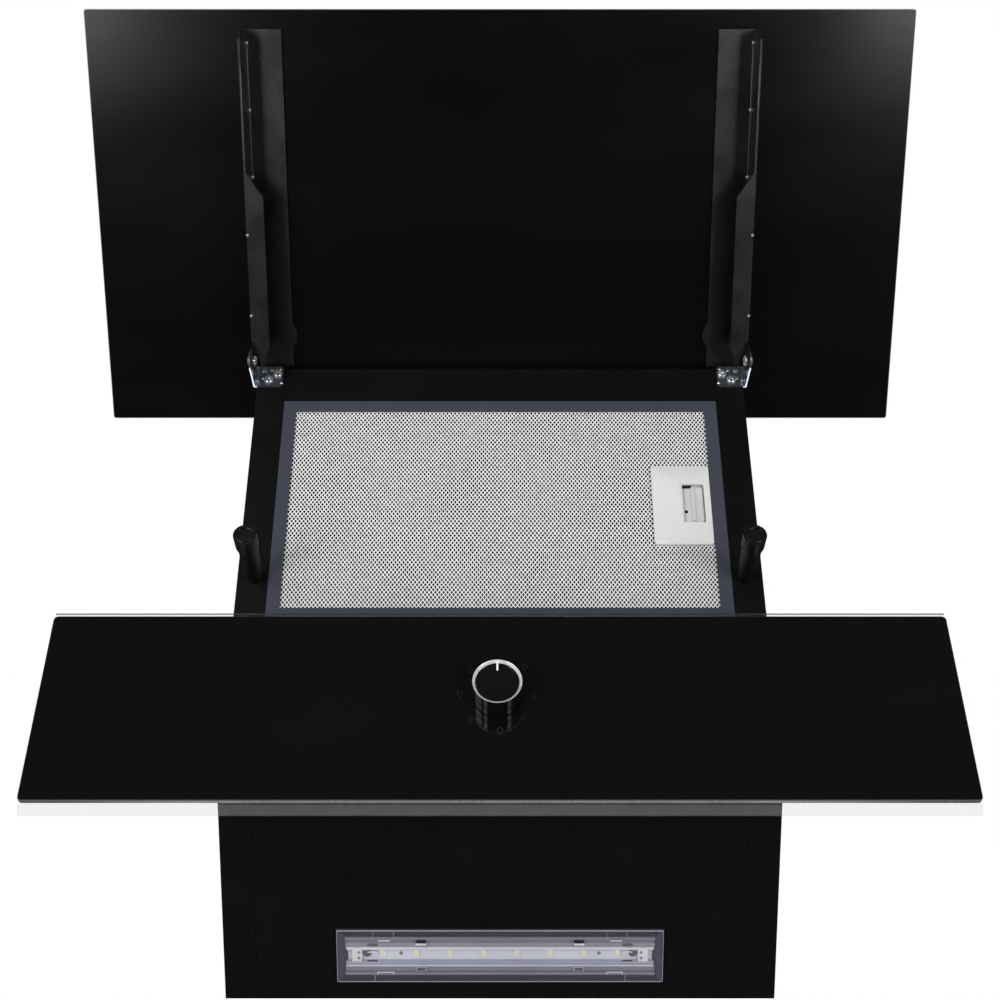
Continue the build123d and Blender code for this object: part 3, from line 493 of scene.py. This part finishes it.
def mesh_layer(bm, xs, us, n, cell, shift, ribbon, lift, seed):
    """Expanded metal: rows of zigzag ribbons that touch at their peaks."""
    draw = random.Random(seed)
    wide, tall = cell
    rows = int((us[1] - us[0]) / (tall / 2))
    columns = int((xs[1] - xs[0]) / (wide / 2))
    for row in range(rows):
        u_mid = us[0] + (row + 0.5) * tall / 2
        previous = None
        for column in range(columns + 1):
            x = xs[0] + column * wide / 2 + shift[0]
            x = min(max(x, xs[0]), xs[1])
            up = 1 if (column + row) % 2 else -1
            u = u_mid + up * tall * 0.25 + shift[1]
            bend = n + lift * up * 0.5 + draw.uniform(-MESH_JITTER, MESH_JITTER)
            low = bm.verts.new((x, u - ribbon / 2, bend - lift * 0.45))
            mid = bm.verts.new((x, u, bend + lift * 0.25))
            high = bm.verts.new((x, u + ribbon / 2, bend + lift * 0.15))
            covered = x > LATCH_FROM[0] and LATCH_FROM[1] < u < LATCH_FROM[2]
            if previous and not covered:
                bm.faces.new((previous[0], low, mid, previous[1]))
                bm.faces.new((previous[1], mid, high, previous[2]))
            previous = (low, mid, high)


def pleated_core(bm, xs, us):
    """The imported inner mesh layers: a slab with shallow pleats in its front and back."""
    count = 2 * int((xs[1] - xs[0]) / CORE_PITCH)
    previous = None
    for i in range(count + 1):
        x = xs[0] + (xs[1] - xs[0]) * i / count
        fold = 0.5 * (i % 2)
        section = []
        front, back = CORE_N[0] - fold, CORE_N[1] + fold
        for u, n in ((us[0], front), (us[1], front), (us[1], back), (us[0], back)):
            section.append(bm.verts.new((x, u, n)))
        if previous is None:
            bm.faces.new(section)
        else:
            for k in range(4):
                j = (k + 1) % 4
                bm.faces.new((previous[k], previous[j], section[j], section[k]))
        previous = section
    bm.faces.new(previous)


def filter_mesh():
    """Two layers of open mesh over a denser core; the second layer and the core are darkened as painted
    shade inside the filter.
    """
    inset = RAIL - 1.0
    xs = (-FILTER_X + inset, FILTER_X - inset)
    us = (FILTER_U[0] + inset, FILTER_U[1] - inset)
    bm = bmesh.new()
    mesh_layer(bm, xs, us, n=-1.5, cell=(2.86, 4.05), shift=(0, 0), ribbon=1.06, lift=0.36, seed=3)
    front = new_object("filter_mesh_front", bm, ("mesh",), "hood", FACE, 60)
    bm = bmesh.new()
    mesh_layer(bm, xs, us, n=-2.6, cell=(2.94, 4.15), shift=(0.7, 0.6), ribbon=1.0, lift=0.5, seed=4)
    second = new_object("filter_mesh_second", bm, ("mesh_inner_painted_shade",), "hood",
                        FACE, 60)
    bm = bmesh.new()
    us = (FILTER_U[0] + CORE_GAP, FILTER_U[1] - CORE_GAP)
    pleated_core(bm, (-FILTER_X + CORE_GAP, FILTER_X - CORE_GAP), us)
    core = new_object("filter_mesh_core", bm, ("mesh_core_painted_shade",), "hood", FACE)
    for piece in (front, second, core):
        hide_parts("filter_mesh")


# ---- latch --------------------------------------------------------------------------------------
WINDOW_X = (132.0, 147.6)
WINDOW_U = (196.0, 229.0)
PRONG_U = (190.7, 231.7)
PLATE_X = (110.0, 152.3)
PLATE_U = (178.0, 245.0)
PLATE_TOP = 1.0
PULL_U = (198.2, 226.8)
BOLT_N = (-6.2, -2.8)


def latch():
    """Moulded plate round a finger window, its recess floor, and the bolt with a dished pull."""
    bm = bmesh.new()
    outer = rounded_outline(*PLATE_X, *PLATE_U, 2.0, 5)
    hole = rounded_outline(*WINDOW_X, *WINDOW_U, 0.8, 5)
    levels = ((-PLATE_TOP, 0.0), (0.45, 0.0), (0.85, 0.18), (PLATE_TOP, 0.55))
    middle_x = sum(PLATE_X) / 2
    middle_u = sum(PLATE_U) / 2
    rings = []
    for z, inset in levels:
        ring = []
        for x, y in outer:
            ring.append(bm.verts.new((x - inset * (1 if x > middle_x else -1),
                                      y - inset * (1 if y > middle_u else -1), z)))
        rings.append(ring)
    for low, high in zip(rings, rings[1:]):
        for i in range(len(low)):
            j = (i + 1) % len(low)
            bm.faces.new((low[i], low[j], high[j], high[i]))
    lip = [[bm.verts.new((x, y, z)) for x, y in hole] for z in (PLATE_TOP, -PLATE_TOP)]
    for i in range(len(hole)):
        j = (i + 1) % len(hole)
        bm.faces.new((lip[0][i], lip[0][j], lip[1][j], lip[1][i]))
    for outline, inner in ((rings[-1], lip[0]), (rings[0], lip[1])):
        edges = []
        for loop in (outline, inner):
            for i, vert in enumerate(loop):
                edge = bm.edges.get((vert, loop[(i + 1) % len(loop)]))
                edges.append(edge)
        bmesh.ops.triangle_fill(bm, use_beauty=True, edges=edges)
    plate = new_object("latch_plate_moulding", bm, ("grey",), "hood", FACE, 30)
    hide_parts("latch_plate")

    bm = bmesh.new()
    left, right = WINDOW_X
    around = (WINDOW_U[0] - 1.0, WINDOW_U[1] + 1.0)
    # The recess floor is in the darker plastic, which is painted shade.
    add_box(bm, (left - 0.6, right + 0.6), around, (-6.9, -6.4), 0.1)
    add_box(bm, (left - 1.7, left - 0.5), around, (0.9, 1.35), 0.18, 2, 1)
    new_object("latch_recess_and_bead", bm, ("grey_painted_shade", "grey"), "hood", FACE, 30)

    bm = bmesh.new()
    # The bolt is in the darker plastic as painted shade in the window.
    scoop = [(139.6, -2.9), (138.0, -1.3), (138.6, -0.5), (139.9, 0.1), (140.7, 0.0), (141.5, -0.9),
             (142.8, -1.35), (146.0, -1.35), (146.6, -1.0), (146.6, -2.9)]
    add_extrusion(bm, [[(x, u, n) for x, n in scoop] for u in PULL_U])
    add_box(bm, (139.4, 153.5), (PRONG_U[0] - 4, PRONG_U[1] + 4), BOLT_N, 0.3)
    for u in PRONG_U:
        add_box(bm, (150.0, 165.8), (u - 4, u + 4), BOLT_N, 0.5)
    floor_u = (WINDOW_U[0] - 0.4, WINDOW_U[1] - 2.4)
    add_box(bm, (left - 0.4, right - 0.3), floor_u, (-2.2, -1.5), 0.2)
    # Near-black disc for the small hole in the bolt: painted shade.
    add_lathe(bm, [(0, -1.42), (1.35, -1.42), (1.35, -1.6), (0, -1.6)],
              Matrix.Translation((134.3, 206.5, 0)), 24, (1, 1, 1))
    bolt = new_object("latch_bolt", bm, ("grey_painted_shade", "hole"), "latch", FACE, 40)
    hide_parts("latch_slider")


# ---- hinges -------------------------------------------------------------------------------------
SCREWS = ((168.9, 329.3), (175.5, 323.8))
PRESSINGS = ((165.6, 321.0, 1.3), (179.6, 325.2, 1.5), (167.4, 334.0, 1.0), (173.6, 332.8, 1.4))
BRACKET_SHEET = 1.0
RIVET_SEAT_X = 186.5
RIVET_R = 2.5
WEB_X = 183.5                          # outer face of an arm's web
BASE_DIMPLES = (-227.4, -180.1, -131.8)
FRONT_DIMPLES = (-93.0, -33.5)
BASE_FOLD_Z = 31.5
FRONT_FOLD_Z = 2.5
POST_X = 171.3
POST_U = 151.0


def hinge_hardware():
    """Cross-head screws, pressed beads on the bracket feet and the domed rivets."""
    bm = bmesh.new()
    for side in (-1, 1):
        for k, (x, u) in enumerate(SCREWS):
            spin = Matrix.Rotation(math.radians(20 + 37 * k * side), 4, "Z")
            add_cross_head(bm, Matrix.Translation((side * x, u, BRACKET_SHEET)) @ spin, 3.6, 1.9)
    screws = new_object("bracket_screw_heads", bm, ("bright",), "hood", FACE, 30)
    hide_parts("hinge_screws")

    bm = bmesh.new()
    for side in (-1, 1):
        add_box(bm, (side * 182.6, side * 185.6), (320.4, 326.0), (0.8, 4.4), 0.9, 3)
        # The pressed beads are in the brighter zinc, a painted glint on the bracket's own zinc.
        for x, u, radius in PRESSINGS:
            add_lathe(bm, [(radius, 0.8), (radius * 0.8, 1.25), (radius * 0.4, 1.5), (0, 1.55)],
                      Matrix.Translation((side * x, u, 0)), 24, (1, 1, 1))
        add_lathe(bm, [(2.1, 0.8), (2.0, 1.4), (1.6, 1.8), (1.0, 1.9), (0.8, 1.4), (0, 1.3)],
                  Matrix.Translation((side * 179.4, 332.4, 0)), 28)
    new_object("bracket_pressings", bm, ("zinc", "bright"), "hood", FACE, 40)

    bm = bmesh.new()
    dome = [(0, 2.2), (1.3, 2.15), (2.6, 1.75), (3.6, 1.05), (4.1, 0.35), (4.2, 0), (RIVET_R, 0)]
    flat = [(r, z * 0.9) for r, z in dome]
    tail_x = WEB_X - 0.3
    shank = [(RIVET_R, 0), (RIVET_R, RIVET_SEAT_X - tail_x)]
    for side in (-1, 1):
        turn = Matrix.Rotation(math.radians(90 * side), 4, "Y")
        back = Matrix.Rotation(math.radians(-90 * side), 4, "Y")
        tail = Matrix.Translation((side * tail_x, 0, 0))
        add_lathe(bm, dome, Matrix.Translation((side * RIVET_SEAT_X, 0, 0)) @ turn, 40)
        add_lathe(bm, flat, tail @ back, 40)
        add_lathe(bm, shank, tail @ turn, 40)
    rivets = new_object("pivot_rivet_heads", bm, ("bright",), "hood", FLAP, 50)
    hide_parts("pivot_rivets")


def post_lips():
    """Rolled lip round the pocket in each post."""
    bm = bmesh.new()
    lip = [(5.2, 56.3), (5.25, 56.7), (5.5, 56.9), (5.85, 56.9), (6.15, 56.7), (6.2, 56.3)]
    for side in (-1, 1):
        at = Matrix.Translation((side * POST_X, POST_U, 0))
        add_lathe(bm, lip, at, 48, close=True)
    new_object("post_lips", bm, ("knob",), "hood", FACE, 50)


def arm_dimples():
    """Tips of the dimples in the two folds of each arm, and thin lines along the folds, coloured lighter
    than the arm paint as painted highlights.
    """
    tip = [(1.2, 0), (1.15, 0.35), (0.85, 0.65), (0.4, 0.82), (0, 0.88)]
    bm = bmesh.new()
    for side in (-1, 1):
        for y in BASE_DIMPLES:
            at = Matrix.Translation((side * (WEB_X - 0.5), y, BASE_FOLD_Z))
            add_lathe(bm, tip, at @ Matrix.Rotation(math.radians(-135 * side), 4, "Y"), 24)
        for y in FRONT_DIMPLES:
            at = Matrix.Translation((side * (WEB_X + 0.8), y, FRONT_FOLD_Z))
            add_lathe(bm, tip, at @ Matrix.Rotation(math.radians(180), 4, "Y"), 24)
    new_object("arm_dimple_highlight_tips", bm, ("dimple_highlight",), "flap", FLAP, 50)

    bm = bmesh.new()
    for side in (-1, 1):
        add_box(bm, (side * (WEB_X - 0.7), side * WEB_X), (-229, -129), (31.7, 32.4), 0.3, 3)
        add_box(bm, (side * (WEB_X + 0.1), side * (WEB_X + 0.6)), (-212, -146), (1.45, 1.8), 0.15, 2)
    new_object("arm_fold_highlight_lines", bm, ("fold",), "flap", FLAP, 50)


# ---- knob ---------------------------------------------------------------------------------------
KNOB_R = 15.6
KNOB_DISH_R = 13.7


def knob():
    """Glossy turned knob with a dished bright ring and a white mark."""
    profile = [(0, 16.6), (KNOB_DISH_R, 16.6), (KNOB_DISH_R, 17.2), (15.4, 18.7), (KNOB_R, 18.5),
               (KNOB_R, 9.15), (15.4, 8.95), (14.8, 8.9), (14.8, 8.1), (15.4, 8.05), (KNOB_R, 7.85),
               (KNOB_R, 1.2), (15.2, 0.65), (0, 0.65)]
    bm = bmesh.new()
    add_lathe(bm, profile, steps=96)
    body = new_object("knob_shell", bm, ("knob",), "knob", KNOB, 30)
    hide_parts("knob_body")
    ring = [(13.9, 17.2), (13.95, 17.35), (15.65, 19.28), (15.8, 19.4), (15.95, 19.38), (16.0, 19.3),
            (16.0, 18.8), (15.9, 18.7), (KNOB_R, 18.7), (15.4, 18.65)]
    bm = bmesh.new()
    add_lathe(bm, ring, steps=96, close=True)
    rim = new_object("knob_rim", bm, ("chrome",), "knob", KNOB, 30)
    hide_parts("knob_ring")
    bm = bmesh.new()
    side_line = ((9.4, 16.55), (9.4, 16.95), (13.5, 17.0), (13.75, 17.65), (15.2, 19.2),
                 (15.2, 18.85), (13.9, 17.2), (13.5, 16.55))
    add_extrusion(bm, [[(x, y, z) for y, z in side_line] for x in (-0.6, 0.6)])
    mark = new_object("knob_mark", bm, ("white",), "knob", KNOB)
    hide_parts("knob_pointer")


ICON_AT = ((-26.2, 1.9), (-18.9, -16.0), (0.1, -24.8), (14.6, -15.3), (21.8, 0.7), (-19.3, 20.9),
           (16.2, 22.5))
ICON_TOP = 0.04


def add_icon_ring(bm, centre, outer, inner, sides, turn):
    """Thin printed outline with the given number of sides."""
    loops = []
    for radius, z in ((outer, -0.2), (outer, ICON_TOP), (inner, ICON_TOP), (inner, -0.2)):
        loop = []
        for i in range(sides):
            a = math.radians(turn) + 2 * math.pi * i / sides
            loop.append(bm.verts.new((centre[0] + radius * math.cos(a),
                                      centre[1] + radius * math.sin(a), z)))
        loops.append(loop)
    for low, high in zip(loops, loops[1:]):
        for i in range(sides):
            j = (i + 1) % sides
            bm.faces.new((low[i], low[j], high[j], high[i]))


def dial_marks():
    """Plain printed shapes round the knob, one for each switch position."""
    bm = bmesh.new()
    for k, (x, y) in enumerate(ICON_AT):
        sides = (24, 3, 24, 3)[k % 4]
        add_icon_ring(bm, (x, y), 1.9, 1.5, sides, 90)
        for dot in range(k % 3 + 1):
            spread = (dot - (k % 3) / 2) * 1.3
            add_icon_ring(bm, (x + spread, y - 2.9), 0.38, 0.05, 12, 0)
    new_object("dial_print", bm, ("icon",), "hood", GLASS)


# ---- lamp ---------------------------------------------------------------------------------------
LAMP_HALF = 108.8
LAMP_FRONT = -51.0
LAMP_BACK = -13.0
LAMP_MID = (LAMP_FRONT + LAMP_BACK) / 2
LED_COUNT = 8
LED_PITCH = 22.4
COVER_FACE = -2.3                      # clip lines lie on the cover's outer face
CLIP_X = 52.5
TERMINAL_X = 95.3
WIRE_X = (81.6, 88.3)


def along_lamp(half):
    """Span of that half length about the middle of the hood."""
    return -half, half


def about(middle, half):
    """Span of that half width about a middle."""
    return middle - half, middle + half


def lamp():
    """Clear cover with clips over a channel that holds the board."""
    def cover_outline(inset):
        half = LAMP_HALF - 0.3 - inset
        return rounded_outline(-half, half, LAMP_FRONT + 0.3 + inset, LAMP_BACK - 0.3 - inset, 0.8, 4)

    bm = bmesh.new()
    add_slab(bm, cover_outline, [(-1.2, 0.25), (-1.3, 0), (-2.1, 0), (-2.4, 0.3)], (0, 0), 1)
    cover = new_object("lamp_lens", bm, ("lamp_clear", "lamp_edge"), "hood", UNDER, 20)
    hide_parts("lamp_cover")

    bm = bmesh.new()
    for side in (-1, 1):
        for x in (70.7, 84.3):
            add_box(bm, about(side * x, 0.12), (-50.2, -45.6), (-2.62, COVER_FACE), 0.05)
        add_box(bm, (side * 73.0, side * 81.0), (-43.9, -43.3), (-2.66, COVER_FACE), 0.12, 2, 1)
        add_box(bm, (side * 70.8, side * 81.6), (-21.0, -20.5), (-2.66, COVER_FACE), 0.12, 2, 1)
        for x in (70.9, 81.5):
            add_box(bm, about(side * x, 0.2), (-20.8, -18.8), (-2.62, COVER_FACE), 0.08, 2, 1)
        add_box(bm, about(side * 83.3, 0.2), (-18.8, -14.0), (-2.62, COVER_FACE), 0.08)
    new_object("lamp_clip_lines", bm, ("lamp_edge", "board"), "hood", UNDER, 30)

    bm = bmesh.new()
    for y in (-44.0, -18.6):
        add_box(bm, along_lamp(103.4), about(y, 1.0), (-1.0, 1.6), 0.85, 4)
    add_box(bm, along_lamp(103.4), (-43.2, -40.2), (1.4, 3.4), 0.3, 2, 2)
    add_box(bm, along_lamp(103.4), (-40.4, -37.2), (0.6, 2.4), 0.5, 3, 1)
    add_box(bm, along_lamp(103.4), (-23.4, -19.8), (0.6, 2.2), 0.5, 3, 2)
    ribs = ("lamp_rib", "lamp_grey_wall", "lamp_groove")
    new_object("lamp_ribs", bm, ribs, "hood", UNDER, 40)

    bm = bmesh.new()
    # The front band and the thin rear line are painted highlights in white; the lilac band and the floor
    # under the board are the channel's colours.
    add_box(bm, along_lamp(102.8), (-37.4, -34.9), (0.2, 3.4), 1.1, 4, 0)
    add_box(bm, along_lamp(102.8), (-27.4, -24.2), (0.2, 3.4), 0.9, 4, 1)
    add_box(bm, along_lamp(102.6), (-24.5, -23.7), (-0.2, 2.6), 0.3, 3, 0)
    add_box(bm, along_lamp(101.5), (-36.0, -27.0), (2.6, 3.3), 0.2, 1, 0)
    new_object("lamp_channel", bm, ("lamp_white_and_highlight", "lamp_lilac"), "hood", UNDER, 40)

    bm = bmesh.new()
    for side in (-1, 1):
        x = side * CLIP_X
        # The front slot is a near-black piece: painted shade.
        add_box(bm, about(x, 3.2), (-43.6, -42.0), (-2.5, 0.4), 0.15, 2, 0)
        add_box(bm, about(x, 3.5), (-41.2, -40.3), (-2.5, 0.4), 0.15, 2, 1)
        # Rear slot: a lighter outline round a dark grey piece that is painted shadow.
        add_box(bm, about(x, 3.4), (-24.4, -21.4), (-2.45, -2.2), 0.1, 2, 3)
        add_box(bm, about(x, 2.9), (-24.0, -21.8), (-2.55, -2.2), 0.1, 2, 2)
    slots = ("hole", "lamp_white_and_highlight", "lamp_shadow", "lamp_edge")
    new_object("lamp_slots", bm, slots, "hood", UNDER, 30)

    bm = bmesh.new()
    for i in range(LED_COUNT):
        x = (i - (LED_COUNT - 1) / 2) * LED_PITCH
        add_box(bm, about(x, 1.9), about(LAMP_MID, 2.6), (1.6, 3.1), 0.25, 2, 0)
        add_box(bm, about(x, 1.4), about(LAMP_MID, 2.0), (1.4, 1.9), 0.35, 3, 1)
    leds = new_object("led_packages", bm, ("led_case", "led"), "hood", UNDER, 40)
    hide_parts("led_chips")

    bm = bmesh.new()
    for side in (-1, 1):
        wires = (side * WIRE_X[0], side * WIRE_X[1])
        add_box(bm, about(side * TERMINAL_X, 3.4), (-37.0, -27.2), (-0.3, 2.9), 0.5, 3, 0)
        for y in (-34.0, -30.0):
            add_lathe(bm, [(0, -0.38), (0.95, -0.38), (1.05, -0.2), (0, -0.2)],
                      Matrix.Translation((side * 94.0, y, 0)), 20, (1, 1, 1))
        # The round part below is coloured with the lamp's painted shadow.
        add_lathe(bm, [(0, 1.2), (2.3, 1.25), (2.8, 1.7), (2.8, 2.9), (0, 2.9)],
                  Matrix.Translation((side * 88.6, -32.6, 0)), 28, (3, 3, 3, 3))
        add_box(bm, wires, (-34.3, -33.6), (0.0, 2.4), 0.2, 2, 0)
        # Dark grey strip under the wires: painted shadow.
        add_box(bm, wires, (-40.2, -38.9), (-0.8, 0.6), 0.2, 2, 3)
        # Near-black pieces by the wires: painted shade.
        add_box(bm, wires, (-28.2, -27.3), (-0.2, 0.6), 0.2, 2, 2)
        add_box(bm, (side * 86.9, side * 88.1), (-35.4, -34.5), (0.0, 2.4), 0.2, 2, 2)
        add_lathe(bm, [(0, 2.35), (1.2, 2.35), (1.3, 2.6), (0, 2.6)],
                  Matrix.Translation((side * 66.0, LAMP_MID, 0)), 20, (1, 1, 1))
    parts = ("white_plastic", "lamp_groove", "hole", "lamp_shadow")
    ends = new_object("lamp_terminals", bm, parts, "hood", UNDER, 40)
    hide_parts("lamp_connectors")


# ---- carried-over nodes -------------------------------------------------------------------------
CARRIED = {
    "body": ("back_panel", "side_panel_left", "side_panel_right", "underside_panel", "top_panel",
             "face_top_strip", "face_bottom_strip", "glass_carrier"),
    "arm": ("flap_arm_left", "flap_arm_right"),
    "zinc": ("hinge_bracket_left", "hinge_bracket_right", "collar_screws"),
    "frame": ("filter_frame", "filter_tabs"),
    "clear": ("edge_strip",),
    "steel": ("switch_shaft", "latch_springs", "post_screws", "lamp_driver_bracket", "motor_body",
              "motor_shaft", "motor_bracket", "damper_pin", "capacitor_clip"),
    "post": ("catch_posts",),
    "magnet": ("catch_magnets",),
    "dark": ("rotary_switch", "blower_housing_left", "blower_housing_right", "impeller",
             "terminal_box"),
    "damper": ("outlet_collar", "damper_flap_front", "damper_flap_rear"),
    "rubber": ("cable_bush",),
    "lamp": ("lamp_housing",),
    "board": ("led_board",),
    "white_plastic": ("lamp_driver", "capacitor", "terminal_block", "friction_washers"),
    "foam": ("arm_bonds",),
}
PLAIN_EDGE = (0.25, 35)
SPECIAL_EDGES = {"arm": (0.3, 70)}     # leaves the rims of the small dimples alone


def carried_over():
    """Finish every CAD node that no piece replaces."""
    for key, nodes in CARRIED.items():
        for node in nodes:
            finish_cad(node, key, *SPECIAL_EDGES.get(key, PLAIN_EDGE))


# ---- stage --------------------------------------------------------------------------------------
FLOOR_Z = -1.75
SIDE_POWER = 12
SIDE_SIZE = (0.8, 0.6)
SKY_STRENGTH = 0.06
PAPER = (0.80, 0.80, 0.80)
CAMERA_FROM_WALL = 0.5639
CAMERA_BELOW = 0.9726
CAMERA_TILT = math.radians(12.8)
CAMERA_LENS = 57.6


def stage():
    """Plain pale floor that lights the underside but isn't mirrored in the glass."""
    bpy.ops.mesh.primitive_plane_add(size=30, location=(0, 0, FLOOR_Z))
    floor = bpy.context.object
    floor.name = "floor"
    paper = Shader("floor_paper", PAPER, 0.8)
    paper.colour(paper.ramp(paper.noise(3, 3), ((0.3, shade(PAPER, 0.975)), (0.7, shade(PAPER, 1.025)))))
    floor.data.materials.append(paper.material)
    floor.visible_glossy = False


def area_light(name, place, target, size, power):
    """Rectangular light aimed at a point, unseen by the camera."""
    data = bpy.data.lights.new(name, "AREA")
    data.shape = "RECTANGLE"
    data.size, data.size_y = size
    data.energy = power
    lamp = bpy.data.objects.new(name, data)
    lamp.location = place
    aim = Vector(target) - Vector(place)
    lamp.rotation_euler = aim.to_track_quat("-Z", "Y").to_euler()
    lamp.visible_camera = False
    bpy.context.collection.objects.link(lamp)
    return lamp


def lights():
    """Panels under the sides, one in front, one overhead, one behind, and a sky white to the camera."""
    for name, x in (("side_left", -0.97), ("side_right", 0.97)):
        area_light(name, (x, -0.76, -1.3), (x, -0.71, -0.3), SIDE_SIZE, SIDE_POWER)
    area_light("front_left", (-1.2, -1.75, -1.15), (0, -0.3, 0), (0.9, 0.8), 8)
    overhead = area_light("overhead", (0, -0.3, 2.6), (0, -0.3, 0), (3.0, 3.0), 230)
    overhead.visible_glossy = False
    area_light("behind", (0, 2.6, 0.6), (0, -0.2, 0), (2.0, 2.0), 30)
    world = bpy.data.worlds.new("studio")
    bpy.context.scene.world = world
    world.use_nodes = True
    nodes, links = world.node_tree.nodes, world.node_tree.links
    seen = nodes["Background"]
    seen.inputs["Color"].default_value = (1, 1, 1, 1)
    seen.inputs["Strength"].default_value = 1.0
    dim = nodes.new("ShaderNodeBackground")
    dim.inputs["Color"].default_value = (1, 1, 1, 1)
    dim.inputs["Strength"].default_value = SKY_STRENGTH
    mix = nodes.new("ShaderNodeMixShader")
    ray = nodes.new("ShaderNodeLightPath")
    links.new(ray.outputs["Is Camera Ray"], mix.inputs["Fac"])
    links.new(dim.outputs["Background"], mix.inputs[1])
    links.new(seen.outputs["Background"], mix.inputs[2])
    links.new(mix.outputs["Shader"], nodes["World Output"].inputs["Surface"])


def camera():
    """View from below, at the height and tilt that the panels' edges give."""
    data = bpy.data.cameras.new("camera")
    data.lens = CAMERA_LENS
    data.sensor_width = 36
    data.clip_start = 0.01
    data.clip_end = 100
    eye = bpy.data.objects.new("camera", data)
    eye.location = (0, -CAMERA_FROM_WALL, UNDERSIDE_Z - CAMERA_BELOW)
    look = Vector((0, math.sin(CAMERA_TILT), math.cos(CAMERA_TILT)))
    up = Vector((0, -math.cos(CAMERA_TILT), math.sin(CAMERA_TILT)))
    right = look.cross(up)
    turn = Matrix((right, up, -look)).transposed()
    eye.rotation_euler = turn.to_euler()
    bpy.context.collection.objects.link(eye)
    bpy.context.scene.camera = eye
    bpy.context.scene.view_settings.view_transform = "Standard"


# ---- build --------------------------------------------------------------------------------------
carried_over()
lower_glass()
flap_glass()
filter_mesh()
latch()
hinge_hardware()
arm_dimples()
post_lips()
knob()
dial_marks()
lamp()
stage()
lights()
camera()
